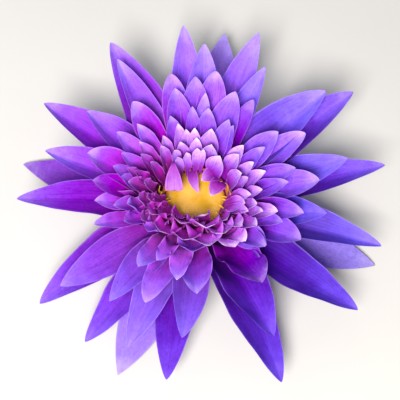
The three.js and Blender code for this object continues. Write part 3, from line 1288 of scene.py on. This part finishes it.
        # no two petals are quite alike: each petal's own value is partly its tone and partly painted
        # shade or light, set petal by petal for how light falls on it
        hue, rich, light = (
            add("Math", (tone_and_shade, change, without), operation="MULTIPLY_ADD")
            for change, without in (self.tint_hue, self.tint_richness, self.tint_light)
        )
        light = add("Math", (clouds, self.cloud_light, light), operation="MULTIPLY_ADD")
        middle = -self.grain_light / 2
        mottle = add("Math", (grain, self.grain_light, middle), operation="MULTIPLY_ADD")
        light = add("Math", (light, mottle), operation="ADD")
        colour = add(
            "HueSaturation", {"Hue": hue, "Saturation": rich, "Value": light, "Color": colour}
        )

        relief = add("Math", (grain, 0.5, vein), operation="MULTIPLY_ADD")
        bumps = add(
            "Bump", {"Height": relief, "Strength": 0.4, "Distance": self.relief_mm * MM},
            invert=True,
        )
        skin = add("BsdfPrincipled", {
            "Base Color": colour,
            "Roughness": add("MapRange", (grain, *NOISE, *self.roughness)),
            "IOR": 1.42,
            "Specular IOR Level": 0.12,
            "Sheen Weight": 0.02,
            "Sheen Roughness": 0.4,
            "Normal": bumps,
        })
        lit = add("HueSaturation", {"Saturation": 1.1, "Value": 1.1, "Color": colour})
        sheet = add("BsdfTranslucent", {"Color": lit, "Normal": bumps})
        add("OutputMaterial", (add("MixShader", (self.glow, skin, sheet)),))
        return material


@dataclass(frozen=True)
class StigmaFinish:
    """Wet stigma tissue, which a film of nectar covers: it shines, and looks buttery below.

    Args:
        name: the material's name.
        flesh: its usual colour.
        cream: colour of its palest patches.
        edge: colour near its rim, and of its speckles; near the rim it is partly painted shade from
            the petals and horns over it.
        edge_start_mm: radius where the rim's colour begins.
        edge_full_mm: radius where it is full.
        patch_mm: width of its patches.
        patch_values: noise over which a patch comes up.
        edge_share: how much of the rim's colour shows at the rim.
        speckle_values: noise over which a speckle comes up.
        speckle_share: how strongly the speckles are coloured.
        grain_mm: width of its grain.
        relief_mm: depth of its grain.
        roughness: under the film, of its smoothest patches and its roughest.
    """

    name: str = "wet_stigma_tissue"
    flesh: str = "#ca9a16"
    cream: str = "#deac48"
    edge: str = "#a8640a"
    edge_start_mm: float = 9.0
    edge_full_mm: float = 12.4
    patch_mm: float = 9.0
    patch_values: tuple[float, float] = (0.42, 0.62)
    edge_share: float = 0.85
    speckle_values: tuple[float, float] = (0.5, 0.75)
    speckle_share: float = 0.25
    grain_mm: float = 0.5
    relief_mm: float = 0.08
    roughness: tuple[float, float] = (0.28, 0.5)

    def build(self) -> bpy.types.Material:
        """Makes the material.

        Returns:
            The material.
        """
        material, add = new_material(self.name)
        place = add("TexCoord", out="Object")
        patches = add("TexNoise", {"Vector": place, "Scale": cells(self.patch_mm), "Detail": 2.0})
        grain = add("TexNoise", {"Vector": place, "Scale": cells(self.grain_mm), "Detail": 3.0})
        from_axis = add("VectorMath", (place, (AXIS.x, AXIS.y, 0.0)), operation="SUBTRACT")
        flat = add("VectorMath", (from_axis, (1.0, 1.0, 0.0)), operation="MULTIPLY")
        radius = add("VectorMath", (flat,), "Value", operation="LENGTH")
        start, full = self.edge_start_mm * MM, self.edge_full_mm * MM
        colour = linear(self.flesh)
        for mask, paint in (
            (add("MapRange", (patches, *self.patch_values), **SMOOTH), self.cream),
            # the rim's darker colour is partly painted shade from the petals and horns over it
            (add("MapRange", (radius, start, full, 0.0, self.edge_share), **SMOOTH), self.edge),
            (add("MapRange", (grain, *self.speckle_values, 0.0, self.speckle_share)), self.edge),
        ):
            colour = add("Mix", {0: mask, 6: colour, 7: linear(paint)}, **BLEND)
        relief = {"Height": grain, "Strength": 0.3, "Distance": self.relief_mm * MM}
        skin = add("BsdfPrincipled", {
            "Base Color": colour,
            "Roughness": add("MapRange", (patches, *NOISE, *self.roughness)),
            "IOR": 1.4,
            "Normal": add("Bump", relief),
            "Coat Weight": 0.35,
            "Coat Roughness": 0.18,
            "Coat IOR": 1.35,
        })
        add("OutputMaterial", (skin,))
        return material


@dataclass(frozen=True)
class HornFinish:
    """Fleshy horns and stamen remains: matt orange feet that ripen to yellow tips.

    Args:
        name: the material's name.
        foot: colour at the foot.
        tip: colour at the tip.
        stain: colour of the brown stains.
        stain_values: noise over which a stain comes up.
        stain_share: how strongly the stains are coloured.
        drift: how unevenly the feet ripen, as a share of the length.
        grain_mm: width of its grain.
        relief_mm: depth of its grain.
    """

    name: str = "fleshy_orange_horn"
    foot: str = "#a8500f"
    tip: str = "#e6b12c"
    stain: str = "#7a2f14"
    stain_values: tuple[float, float] = (0.58, 0.75)
    stain_share: float = 0.5
    drift: float = 0.5
    grain_mm: float = 0.8
    relief_mm: float = 0.15

    def build(self) -> bpy.types.Material:
        """Makes the material.

        Returns:
            The material.
        """
        material, add = new_material(self.name)
        place = add("TexCoord", out="Object")
        along = add("Attribute", out="Fac", attribute_name="along")
        grain = add("TexNoise", {"Vector": place, "Scale": cells(self.grain_mm), "Detail": 3.0})
        drift = add("Math", (grain, self.drift, -self.drift / 2), operation="MULTIPLY_ADD")
        height = add("Math", (along, drift), operation="ADD", use_clamp=True)
        stained = add("MapRange", (grain, *self.stain_values, 0.0, self.stain_share))
        colour = linear(self.foot)
        for mask, paint in ((height, self.tip), (stained, self.stain)):
            colour = add("Mix", {0: mask, 6: colour, 7: linear(paint)}, **BLEND)
        relief = {"Height": grain, "Strength": 0.4, "Distance": self.relief_mm * MM}
        skin = add("BsdfPrincipled", {
            "Base Color": colour,
            "Roughness": 0.5,
            "IOR": 1.42,
            "Sheen Weight": 0.1,
            "Normal": add("Bump", relief),
        })
        add("OutputMaterial", (skin,))
        return material


@dataclass(frozen=True)
class GreenFinish:
    """Waxy green plant skin with a purple flush, and pale pith where it is cut across.

    Args:
        name: the material's name.
        skin: the green of the skin.
        flush: the purple that sun brings out in it.
        pith: colour of the pith.
        cut_height: height under which it is cut across, in millimetres.
        cut_edge: height over which skin turns to pith, in millimetres.
        flush_height: height over which the flush is full, in millimetres.
        flush_start: share of that height where it begins.
        patch_mm: width of its patches.
        patch_values: noise over which the flush comes up in patches.
        patch_share: how strongly the patches are coloured.
        fibre_values: noise over which a fibre comes up.
        fibre_share: how strongly the fibres are coloured.
        fibre_mm: width of its fibres.
        fibre_stretch: their width as a share of their length.
        relief_mm: depth of its fibres.
        roughness: of its smoothest patches and its roughest.
    """

    name: str
    skin: str
    flush: str
    pith: str = "#b9c48a"
    cut_height: float = -1.0
    cut_edge: float = 0.15
    flush_height: float = 60.0
    flush_start: float = 0.6
    patch_mm: float = 5.0
    patch_values: tuple[float, float] = (0.4, 0.68)
    patch_share: float = 0.8
    fibre_values: tuple[float, float] = (0.5, 0.7)
    fibre_share: float = 0.4
    fibre_mm: float = 0.6
    fibre_stretch: float = 0.15
    relief_mm: float = 0.12
    roughness: tuple[float, float] = (0.4, 0.6)

    def build(self) -> bpy.types.Material:
        """Makes the material.

        Returns:
            The material.
        """
        material, add = new_material(self.name)
        place = add("TexCoord", out="Object")
        patches = add("TexNoise", {"Vector": place, "Scale": cells(self.patch_mm), "Detail": 3.0})
        upright = (1.0, 1.0, self.fibre_stretch)
        stretched = add("VectorMath", (place, upright), operation="MULTIPLY")
        fibres = add(
            "TexNoise", {"Vector": stretched, "Scale": cells(self.fibre_mm), "Detail": 3.0}
        )
        height = add("SeparateXYZ", (place,), "Z")
        full, cut = self.flush_height * MM, self.cut_height * MM
        sunny = add("MapRange", (patches, *self.patch_values, 0.0, self.patch_share), **SMOOTH)
        high = add("MapRange", (height, self.flush_start * full, full))
        flushed = add("Math", (sunny, high), operation="MAXIMUM")
        streak = add("MapRange", (fibres, *self.fibre_values, 0.0, self.fibre_share))
        under_cut = add("MapRange", (height, cut, cut + self.cut_edge * MM, 1.0, 0.0))
        colour = linear(self.skin)
        for mask, paint in (
            (flushed, self.flush), (streak, self.flush), (under_cut, self.pith),
        ):
            colour = add("Mix", {0: mask, 6: colour, 7: linear(paint)}, **BLEND)
        relief = {"Height": fibres, "Strength": 0.4, "Distance": self.relief_mm * MM}
        skin = add("BsdfPrincipled", {
            "Base Color": colour,
            "Roughness": add("MapRange", (patches, *NOISE, *self.roughness)),
            "IOR": 1.42,
            "Normal": add("Bump", relief),
        })
        add("OutputMaterial", (skin,))
        return material


@dataclass(frozen=True)
class BoardFinish:
    """Board under matt paint: pale, and faintly mottled by the roller.

    Args:
        name: the material's name.
        paint: its usual colour.
        pale: colour of its palest patches.
        patch_mm: width of its patches.
    """

    name: str = "matt_painted_board"
    paint: str = "#bebdba"
    pale: str = "#c4c3c0"
    patch_mm: float = 60.0

    def build(self) -> bpy.types.Material:
        """Makes the material.

        Returns:
            The material.
        """
        material, add = new_material(self.name)
        place = add("TexCoord", out="Object")
        mottle = add("TexNoise", {"Vector": place, "Scale": cells(self.patch_mm), "Detail": 2.0})
        colour = add("Mix", {0: mottle, 6: linear(self.paint), 7: linear(self.pale)}, **BLEND)
        paint = add("BsdfPrincipled", {"Base Color": colour, "Roughness": 0.9})
        add("OutputMaterial", (paint,))
        return material


STALK_SKIN = GreenFinish("stalk_skin", skin="#7d8f45", flush="#6d3f5c", cut_height=0.0)
OVARY_SKIN = GreenFinish("ovary_skin", skin="#8c9a4e", flush="#8c1466", flush_height=12.0)

PETAL_FINISHES = {
    Tissue.SEPAL: PetalFinish(
        name="sepal_skin", root="#7a5a90",
        warm_foot="#8f40b0", cool_foot="#7f68c0", warm="#9a50d8", cool="#9a80ea",
        warm_tip="#9a68e0", cool_tip="#a090f0", rim="#b8a4f0", point="#d8ccf8",
        vein="#5c44ac", back="#6f7a4a",
        foot_reach=0.4, veins=9, crease_share=0.2, back_share=0.8,
    ),
    Tissue.VIOLET: PetalFinish(
        name="violet_petal_velvet", root="#9c20b0",
        warm_foot="#a040cc", cool_foot="#5420a8", warm="#983ee0", cool="#6c50e4",
        warm_tip="#b084fc", cool_tip="#987cf8", rim="#c4a8ff", point="#c8b4ff",
        vein="#481098", back="#8650d4",
        root_reach=0.5, foot_reach=0.84, warm_reach=0.08, rim_start=0.91, rim_share=0.32,
        point_share=0.25, streak_share=0.34,
    ),
    Tissue.MAGENTA: PetalFinish(
        name="magenta_petal_velvet", root="#8c0878",
        warm_foot="#b80cc8", cool_foot="#8008b8", warm="#ac40e8", cool="#9454f2",
        warm_tip="#bc84fc", cool_tip="#a070f4", rim="#e0a4fc", point="#e4c4ff",
        vein="#5808a0", back="#8c20b0",
        foot_start=0.3, tip_start=0.48, warm_reach=0.17, veins=6,
        crease_share=0.3, rim_start=0.89, rim_share=0.4, point_share=0.42,
        vein_share=0.34, streak_share=0.45,
    ),
    Tissue.LILAC: PetalFinish(
        name="lilac_petal_velvet", root="#84005c",
        warm_foot="#b0049c", cool_foot="#9c08b8", warm="#b828d4", cool="#b870fa",
        warm_tip="#d080fc", cool_tip="#ecc4ff", rim="#e088fc", point="#fff0ff",
        vein="#6408a0", back="#98187c",
        foot_start=0.24, tip_start=0.48, warm_reach=0.22, rim_start=0.78,
        rim_share=0.42, point_share=0.6, veins=5, crease_share=0.25, vein_share=0.34,
        streak_share=0.5,
    ),
}


# -------------------------------------------------------------------- the studio


@dataclass(frozen=True)
class Softbox:
    """A square softbox that faces the flower.

    Args:
        name: the light's name.
        place: where it hangs, in metres.
        size: its side, in metres.
        watts: its power.
        colour: its colour.
    """

    name: str
    place: tuple[float, float, float]
    size: float
    watts: float
    colour: str

    def build(self) -> None:
        """Hangs the light."""
        lamp = bpy.data.lights.new(self.name, "AREA")
        lamp.size = self.size
        lamp.energy = self.watts
        lamp.color = linear(self.colour)[:3]
        light = new_object(self.name, lamp)
        light.location = self.place
        light.rotation_euler = Vector(self.place).to_track_quat("Z", "Y").to_euler()


@dataclass(frozen=True)
class Studio:
    """Floor, lights and camera.

    Args:
        elevation: the camera's height over the horizon, in degrees.
        roll: how far the camera is turned about its own axis, in degrees.
        distance: from the camera to the middle of the flower, in metres.
        view_width: width of the view at the middle of the flower, in metres.
        sensor_mm: width of the camera's sensor.
        near: nearest distance that the camera sees, in metres.
        aside: how far to the right of the flower's axis the camera aims, in metres.
        middle: height of the point that it aims at, in metres.
        floor_size: side of the floor, in metres.
        floor_mm: height of the floor, just under what rests on it.
        softboxes: the lights.
        sky: colour of the light that comes from all sides.
        sky_strength: how strong it is.
    """

    elevation: float = 68.0
    roll: float = 10.0
    distance: float = 0.38
    view_width: float = 0.162
    sensor_mm: float = 36.0
    near: float = 0.01
    aside: float = 0.002
    middle: float = 0.018
    floor_size: float = 6.0
    floor_mm: float = -0.1
    softboxes: tuple[Softbox, ...] = (
        Softbox("key_softbox", (-0.08, -0.44, 0.62), 0.28, 10.8, "#fffaf4"),
        Softbox("fill_softbox", (-0.6, 0.5, 0.5), 0.8, 2.5, "#eef2ff"),
    )
    sky: str = "#eef1f6"
    sky_strength: float = 0.38

    def build(self) -> None:
        """Makes everything round the flower."""
        self.build_floor()
        for softbox in self.softboxes:
            softbox.build()
        self.build_world()
        self.build_camera()

    def build_floor(self) -> None:
        """Lays a large pale floor under the flower."""
        half = self.floor_size / 2
        corners = [(-half, -half, 0), (half, -half, 0), (half, half, 0), (-half, half, 0)]
        mesh = bpy.data.meshes.new("floor")
        mesh.from_pydata(corners, [], [(0, 1, 2, 3)])
        mesh.materials.append(BoardFinish().build())
        floor = new_object("floor", mesh)
        floor.location.z = self.floor_mm * MM
        floor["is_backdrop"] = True

    def build_world(self) -> None:
        """Lights everything evenly from a pale sky."""
        world = bpy.data.worlds.new("pale_room")
        world.use_nodes = True
        world.node_tree.nodes.clear()
        sky = add_node(world.node_tree, "Background", (linear(self.sky), self.sky_strength))
        add_node(world.node_tree, "OutputWorld", (sky,))
        bpy.context.scene.world = world

    def build_camera(self) -> None:
        """Sets the camera up over the front of the flower."""
        tilt, roll = math.radians(self.elevation), math.radians(self.roll)
        right = Vector((1, 0, 0))
        up = Vector((0, math.sin(tilt), math.cos(tilt)))
        back = right.cross(up)
        turned_right = right * math.cos(roll) + up * math.sin(roll)
        turned_up = up * math.cos(roll) - right * math.sin(roll)
        aim = Vector((AXIS.x, AXIS.y, self.middle)) + turned_right * self.aside
        lens = bpy.data.cameras.new("camera")
        lens.sensor_width = self.sensor_mm
        lens.lens = self.sensor_mm * self.distance / self.view_width
        lens.clip_start = self.near
        camera = new_object("camera", lens)
        turn = Matrix((turned_right, turned_up, back)).transposed().to_4x4()
        camera.matrix_world = Matrix.Translation(aim + back * self.distance) @ turn
        bpy.context.scene.camera = camera
        bpy.context.scene.view_settings.view_transform = "Standard"


# --------------------------------------------------------------------- the flower

WALL_FOOT = 14.575  # radius of the feet of the inner rows, in millimetres
CENTRE_NODE = "innermost_row_of_petals"  # what the odd petals round the stigma stand for

SEPALS = LeafRow(
    name="sepal", tissue=Tissue.SEPAL, seed=11,
    form=LeafForm(
        foot=(11.2, 6.4), arch=12, cup=0.1, thickness=0.8, widest=0.5, foot_width=0.42,
        keel=0.06, hook=0.9,
    ),
    leaves=[
        Leaf(90, 83, 12, 19, 0.9), Leaf(173, 75, 0, 18, 0.2), Leaf(256, 74, 0, 20, 0.7),
        Leaf(354, 79, 0, 20, 0.35),
    ],
)

OUTER_PETALS = LeafRow(
    name="outer_petal", tissue=Tissue.VIOLET, seed=21,
    form=LeafForm(
        foot=(12.9, 8.7), arch=10, cup=0.2, thickness=0.6, widest=0.45, foot_width=0.26,
        keel=0.38, flute=0.42, shoulder=1.4, blunt=0.72,
    ),
    deep=0.3, deep_side=305, cool_light_side=-30,
    leaves=[
        Leaf(20, 79, 24, 17, 0.4, -6, fold=1.5), Leaf(44, 79, 30, 20, 0.45, -6, bow=-1, fold=1.5),
        Leaf(79, 74, 34, 17, 1.1, -8), Leaf(104, 72, 34, 16, 1.1), Leaf(129, 73, 32, 21, 0.5, 6),
        Leaf(159, 72, 28, 19, 0.4, 8), Leaf(192, 71, 22, 17, 0.25, 8, bow=-1),
        Leaf(226, 74.4, 17, 20, 0.5, 10, bow=-2), Leaf(244, 72, 15, 17, 0.65, 10, bow=1),
        Leaf(271, 73, 14, 18, 0.45, 6),
        Leaf(304, 80, 14, 20, 0.55, -10, bow=1, ruffle=1.5, fold=1.4),
        Leaf(334, 78, 18, 20, 0.55, -9, bow=-1, ruffle=2, fold=1.8),
        Leaf(355, 77, 20, 18, 0.95, -10, bow=1, fold=1.6),
    ],
)

SECOND_PETALS = LeafRow(
    name="second_petal", tissue=Tissue.VIOLET, seed=31,
    form=LeafForm(
        foot=(13.9, 10.2), arch=10, cup=0.22, thickness=0.55, widest=0.5, foot_width=0.26,
        keel=0.38, flute=0.4, shoulder=1.6, blunt=0.75,
    ),
    deep=0.2, deep_side=310, cool_light_side=-4,
    leaves=[
        Leaf(22, 62, 32, 16, 0.7, 4), Leaf(48, 67, 36, 20, 0.9, -6, fold=1.6),
        Leaf(71, 58, 38, 12, 0.9, -6), Leaf(97, 61, 38, 16, 0.95, 6), Leaf(131, 63, 36, 13, 0.8, 6),
        Leaf(155, 54, 34, 16, 0.7, 9), Leaf(176, 62, 30, 16, 0.7, 8),
        Leaf(226.5, 65, 24, 16, 0.75, -8, fold=1.5), Leaf(244, 56.7, 29, 13, 1.0, fold=1.6),
        Leaf(257, 67, 22, 15, 1.4, 4, fold=1.5), Leaf(274, 59.5, 26, 15, 1.0, -10, bow=1, fold=1.6),
        Leaf(306, 65, 26, 19, 0.4, -4, ruffle=3, fold=1.5), Leaf(358, 52, 32, 15, 0.65, 8),
    ],
)

THIRD_PETALS = LeafRow(
    name="third_petal", tissue=Tissue.MAGENTA, seed=41,
    form=LeafForm(
        foot=(14.6, 11.7), arch=10, cup=0.22, thickness=0.5, widest=0.58, foot_width=0.26,
        keel=0.34, flute=0.3, shoulder=2.3, blunt=0.66, ruffle=0.35, stations=40, around=36,
    ),
    cool_light_side=5,
    leaves=[
        Leaf(12, 48, 36, 13, 0.7, -5), Leaf(36, 48, 38, 12, 0.8, -5), Leaf(67, 42, 39, 8, 0.25, -5),
        Leaf(91, 48, 40, 12.5, 0.65, 5), Leaf(113, 48, 38, 12, 0.6, 5),
        Leaf(137, 43, 37, 12, 0.6, 2), Leaf(175, 45, 36, 14, 0.75, 5),
        Leaf(213, 43.5, 33, 7.5, 1.0, 6), Leaf(245.5, 40.5, 31, 9, 1.3, 6, fold=1.5),
        Leaf(257, 51, 32, 11, 1.2, 6, fold=1.4), Leaf(279, 44.3, 33, 13, 0.95, 6, fold=1.5),
        Leaf(312, 46, 31, 17, -0.15, -8, ruffle=3.5, fold=1.2), Leaf(339, 46, 36, 13, 0.5, -5),
    ],
)

FOURTH_ROW = LeafRow(
    name="fourth_row_of_petals", tissue=Tissue.MAGENTA, seed=51, joined=True,
    form=LeafForm(
        foot=(WALL_FOOT, 13.2), arch=12, cup=0.26, thickness=0.45, widest=0.6, foot_width=0.34,
        keel=0.26, flute=0.18, shoulder=2.2, blunt=0.8, ruffle=0.35, stations=36, around=32,
    ),
    frill=2.4, spread=12, unruly=10, deep=0.06, cool_light_side=35,
    leaves=[
        Leaf(18, 38.8, 39, 10, 0.55, -5), Leaf(43, 38.7, 39, 11.5, 0.75, -5),
        Leaf(78, 41.6, 39.5, 12, 0.7, -5), Leaf(101, 45.0, 39.5, 12, 0.6, 3),
        Leaf(113, 40.5, 39.5, 11.5, 0.62, 5), Leaf(158, 38.2, 38, 9.3, 1.15, 4),
        Leaf(181, 34.0, 38, 8.5, 1.1, 5), Leaf(190, 41, 36, 11, 0.3, 6),
        Leaf(200.4, 40.6, 34, 9, 0.95, 6), Leaf(207.6, 34.5, 36, 8.5, 1.1, 5),
        Leaf(268, 40, 34, 8.5, 1.4, 6, fold=1.3), Leaf(323, 36.8, 38, 10, 0.6, -4),
        Leaf(352, 42.6, 38.5, 11, 0.5, -6),
    ],
)

FIFTH_ROW = LeafRow(
    name="fifth_row_of_petals", tissue=Tissue.MAGENTA, seed=61, joined=True,
    form=LeafForm(
        foot=(WALL_FOOT, 14.7), arch=12, cup=0.28, thickness=0.42, widest=0.62, foot_width=0.38,
        keel=0.26, flute=0.16, shoulder=2.1, blunt=0.86, ruffle=0.4, waves=3.0, stations=32,
        around=28,
    ),
    frill=3.6, broad=0.5, spread=20, unruly=14, deep=0.06, cool_light_side=35,
    leaves=[
        Leaf(9, 35.4, 39, 8.5, 0.6, -5), Leaf(38, 30.1, 39.5, 7.5, 0.7, -5),
        Leaf(69, 28.0, 38.5, 6.5, 0.55, -5), Leaf(74, 29.4, 39.5, 7, 0.95, -5),
        Leaf(95, 38.0, 39.5, 6.5, 1), Leaf(92, 31.7, 39, 9, 0.7, 4),
        Leaf(104, 32.0, 39.5, 6.5, 0.65, 5), Leaf(122, 29.7, 39, 8, 0.6, 5),
        Leaf(145, 34.0, 38, 7.6, 1.1, 5), Leaf(170, 32.6, 38, 7.6, 1.05, 5),
        Leaf(188, 30.4, 38, 8.5, 1.0, 5), Leaf(209, 29.6, 36, 8.5, 1.15, 5),
        Leaf(220, 33, 35.5, 8, 0.9, 5), Leaf(237, 28.5, 36, 7, 1.25, 5),
        Leaf(252.5, 34.5, 31, 6.4, 1.3, fold=1.5), Leaf(275, 28.7, 34, 14, 1, ruffle=1.6),
        Leaf(327, 36.0, 33, 11, 0.9, 14), Leaf(342, 36.7, 38.5, 8, 0.5, -5),
    ],
)

SIXTH_ROW = LeafRow(
    name="sixth_row_of_petals", tissue=Tissue.LILAC, seed=71, joined=True,
    form=LeafForm(
        foot=(WALL_FOOT, 16.2), arch=8, cup=0.3, thickness=0.38, widest=0.62, foot_width=0.42,
        keel=0.24, blunt=0.88, ruffle=0.42, waves=3.0, stations=32, around=28, shoulder=2.1,
    ),
    frill=4.2, broad=1.0, spread=36, cool_light_side=52, unruly=14, deep=0.1,
    leaves=[
        Leaf(19, 27.0, 38.5, 6.5, 0.8, -5), Leaf(50, 24.0, 38.5, 7, 0.7, -5),
        Leaf(86, 23.2, 38.5, 8.5, 0.55), Leaf(103, 22.8, 38.5, 6, 0.9),
        Leaf(112, 23.1, 38, 5.5, 0.75, 4), Leaf(118, 25.7, 38.5, 6, 0.8, 5),
        Leaf(136, 23.9, 38, 6, 1, 6), Leaf(155, 28.4, 38, 6.8, 0.95, 6),
        Leaf(180, 28.3, 38, 6, 0.95, 5), Leaf(192, 27.3, 38, 7.5, 1.05, 5),
        Leaf(208, 25.0, 37, 7.5, 1.1, 5), Leaf(243.6, 25.8, 36, 10, 0.85, 5),
        Leaf(289, 26.3, 36, 14, 0.85, ruffle=1.4), Leaf(308, 29.5, 35.5, 13, 0.85, ruffle=1.4),
        Leaf(317, 29.8, 36, 9, 0.85), Leaf(347, 33.6, 38.5, 8.5, 0.75, -5),
        Leaf(226, 27.5, 36, 6.5, 1.35, -12), Leaf(266, 25.5, 37, 12, 0.85, -6),
        Leaf(330, 29.5, 38, 8, 0.55, -5),
    ],
)

SEVENTH_ROW = LeafRow(
    name="seventh_row_of_petals", tissue=Tissue.LILAC, seed=81, joined=True,
    form=LeafForm(
        foot=(WALL_FOOT, 17.9), arch=6, cup=0.3, thickness=0.34, widest=0.62, foot_width=0.46,
        keel=0.24, blunt=0.88, ruffle=0.42, waves=3.0, stations=32, around=24, shoulder=2.1,
    ),
    frill=4.2, broad=1.0, spread=44, cool_light_side=55, unruly=14, deep=0.1,
    leaves=[
        Leaf(31, 24.4, 37, 6, 0.85, -5), Leaf(46, 20.9, 37, 7.5, 0.8, -5),
        Leaf(81, 17.6, 37, 8, 0.6), Leaf(101, 19.2, 37, 5.5, 0.95), Leaf(122, 18.7, 37, 6.5, 0.9, 4),
        Leaf(144, 21.6, 37, 5.7, 1, 6), Leaf(163, 25.3, 37, 6.2, 0.65, 6),
        Leaf(181, 25.4, 37, 5.7, 0.7, 6), Leaf(190, 21.6, 36, 6.8, 1, 6),
        Leaf(225, 23.0, 35.5, 10, 0.8, 5), Leaf(305, 23.8, 36, 11, 0.8),
        Leaf(344, 28.0, 37, 6, 0.75, -5), Leaf(348, 25.2, 37, 7, 0.9, -5),
        Leaf(3, 25.6, 37, 6.5, 0.85, -5), Leaf(17, 20.8, 36, 5, 0.85, -5),
        Leaf(208, 21.5, 35.5, 6.2, 1, 5), Leaf(258, 18.5, 35.5, 11, 0.8, 4),
        Leaf(289, 19.5, 36, 12, 0.8, -6), Leaf(322, 24.5, 36.5, 8, 0.6, -4),
    ],
)

INNERMOST_ROW = LeafRow(
    name="innermost_row_of_petals", tissue=Tissue.LILAC, seed=91, joined=True,
    form=LeafForm(
        foot=(WALL_FOOT - 1.2, 19.7), arch=20, cup=0.3, thickness=0.32, widest=0.62,
        foot_width=0.5, ruffle=0.3, waves=2.0, stations=32, around=24, shoulder=2.1,
    ),
    frill=4.0, broad=0.6, spread=20, cool_light_side=60, unruly=8, deep=0.1,
    leaves=[
        Leaf(24, 18.4, 35.5, 9, 0.9, -14), Leaf(359, 21.4, 34.5, 6.5, 0.9, -4, foot=11.6),
        Leaf(347, 20.7, 34, 7.5, 0.95, foot=11.0), Leaf(341, 22.5, 34, 5.5, 0.9, foot=11.4),
        Leaf(64, 16.0, 34, 8, 0.9, foot=11.6), Leaf(165, 21.3, 35, 5.5, 0.8, 10),
        Leaf(206, 19.2, 31.5, 6, 0.85, 8, foot=11.5), Leaf(225.7, 18.9, 30.5, 6.5, 0.85, foot=10.0),
        Leaf(247, 15.6, 30.5, 6.5, 0.85, foot=9.6), Leaf(262, 16.6, 30, 6, 0.85, foot=9.4),
        Leaf(279, 16.4, 31, 6, 0.85, foot=10.4), Leaf(295, 12.6, 31.5, 6.5, 0.85),
        Leaf(319, 18.5, 33, 7.5, 0.85),
    ],
)

BENT_PETALS = LeafRow(
    name="bent_petals", tissue=Tissue.LILAC, seed=97, joined=True,
    form=LeafForm(
        foot=(WALL_FOOT - 0.8, 20.2), arch=-80, cup=-0.15, thickness=0.34, widest=0.5,
        foot_width=0.5, keel=-0.3, ruffle=0.35, waves=1.5, hook=-0.5, stations=28, around=24,
        shoulder=1.7,
    ),
    frill=0.0, cool_light_side=100, fade=0.92, node=CENTRE_NODE,
    leaves=[
        Leaf(57, 5.6, 23.5, 7.0, 0.85, swing=-19), Leaf(45, 3.6, 24.0, 7.0, 0.8, arch=-75, swing=22),
        Leaf(101, 1.5, 21.5, 4.4, 1.0, bow=1.8, arch=-70, swing=6),
    ],
)

FOLDED_PETAL = LeafRow(
    name="folded_petal", tissue=Tissue.LILAC, seed=99, joined=True,
    form=LeafForm(
        foot=(WALL_FOOT - 2.2, 20.2), arch=0, cup=-0.1, thickness=0.34, widest=0.97,
        foot_width=0.14, wedge=9.0, keel=-0.1, ruffle=0.3, waves=1.5, hook=-0.3, stations=32,
        around=24, shoulder=3.0, blunt=0.7,
    ),
    frill=0.0, cool_light_side=110, fade=0.78, node=CENTRE_NODE,
    leaves=[Leaf(149, 5.2, 25.5, 7.0, 1.0, 10, swing=-44, crest=(13.4, 33.4))],
)

STRAP_PETALS = LeafRow(
    name="strap_petals", tissue=Tissue.LILAC, seed=93, joined=True,
    form=LeafForm(
        foot=(WALL_FOOT - 3.8, 19.7), arch=20, cup=0.3, thickness=0.32, widest=0.78,
        foot_width=0.3, wedge=1.6, ruffle=0.3, waves=2.0, stations=32, around=24, shoulder=2.6,
        blunt=0.8,
    ),
    frill=0.0, cool_light_side=90, fade=0.96, node=CENTRE_NODE,
    leaves=[
        Leaf(90, 15.4, 34.5, 2.6, 0.9, -10), Leaf(100, 16.0, 34.5, 3.8, 1),
        Leaf(117.5, 14.6, 34, 3.8, 1, 8, foot=10.4),
        Leaf(133.2, 14.5, 34, 3.6, 0.95, -14, foot=10.6),
        Leaf(133.0, 17.5, 35, 4.6, 0.95, 8, foot=12.4),
    ],
)

LEAF_ROWS = [
    SEPALS, OUTER_PETALS, SECOND_PETALS, THIRD_PETALS,
    FOURTH_ROW, FIFTH_ROW, SIXTH_ROW, SEVENTH_ROW, INNERMOST_ROW, BENT_PETALS,
    FOLDED_PETAL, STRAP_PETALS,
]


def main() -> None:
    """Builds the flower and the studio, and reports each piece."""
    logging.basicConfig(level=logging.INFO, format="%(name)s: %(message)s")
    petal_finishes = {tissue: finish.build() for tissue, finish in PETAL_FINISHES.items()}
    dressed = [(Stalk().build(), STALK_SKIN.build())]
    pistil_finishes = {
        "ovary": OVARY_SKIN.build(), "stigma": StigmaFinish().build(), "horns": HornFinish().build(),
    }
    dressed += [(piece, pistil_finishes[part]) for part, piece in Pistil().build().items()]
    for row in LEAF_ROWS:
        dressed += [(piece, petal_finishes[row.tissue]) for piece in row.build()]
    for piece, finish in dressed:
        piece.data.materials.clear()
        piece.data.materials.append(finish)
        LOG.info("%s has %d faces", piece.name, len(piece.data.polygons))
    Studio().build()
    boxes = {"cad": cad_box, "visual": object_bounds()}
    {k: [list(corner) for corner in box] for k, box in boxes.items()}


if __name__ == "__main__":
    main()
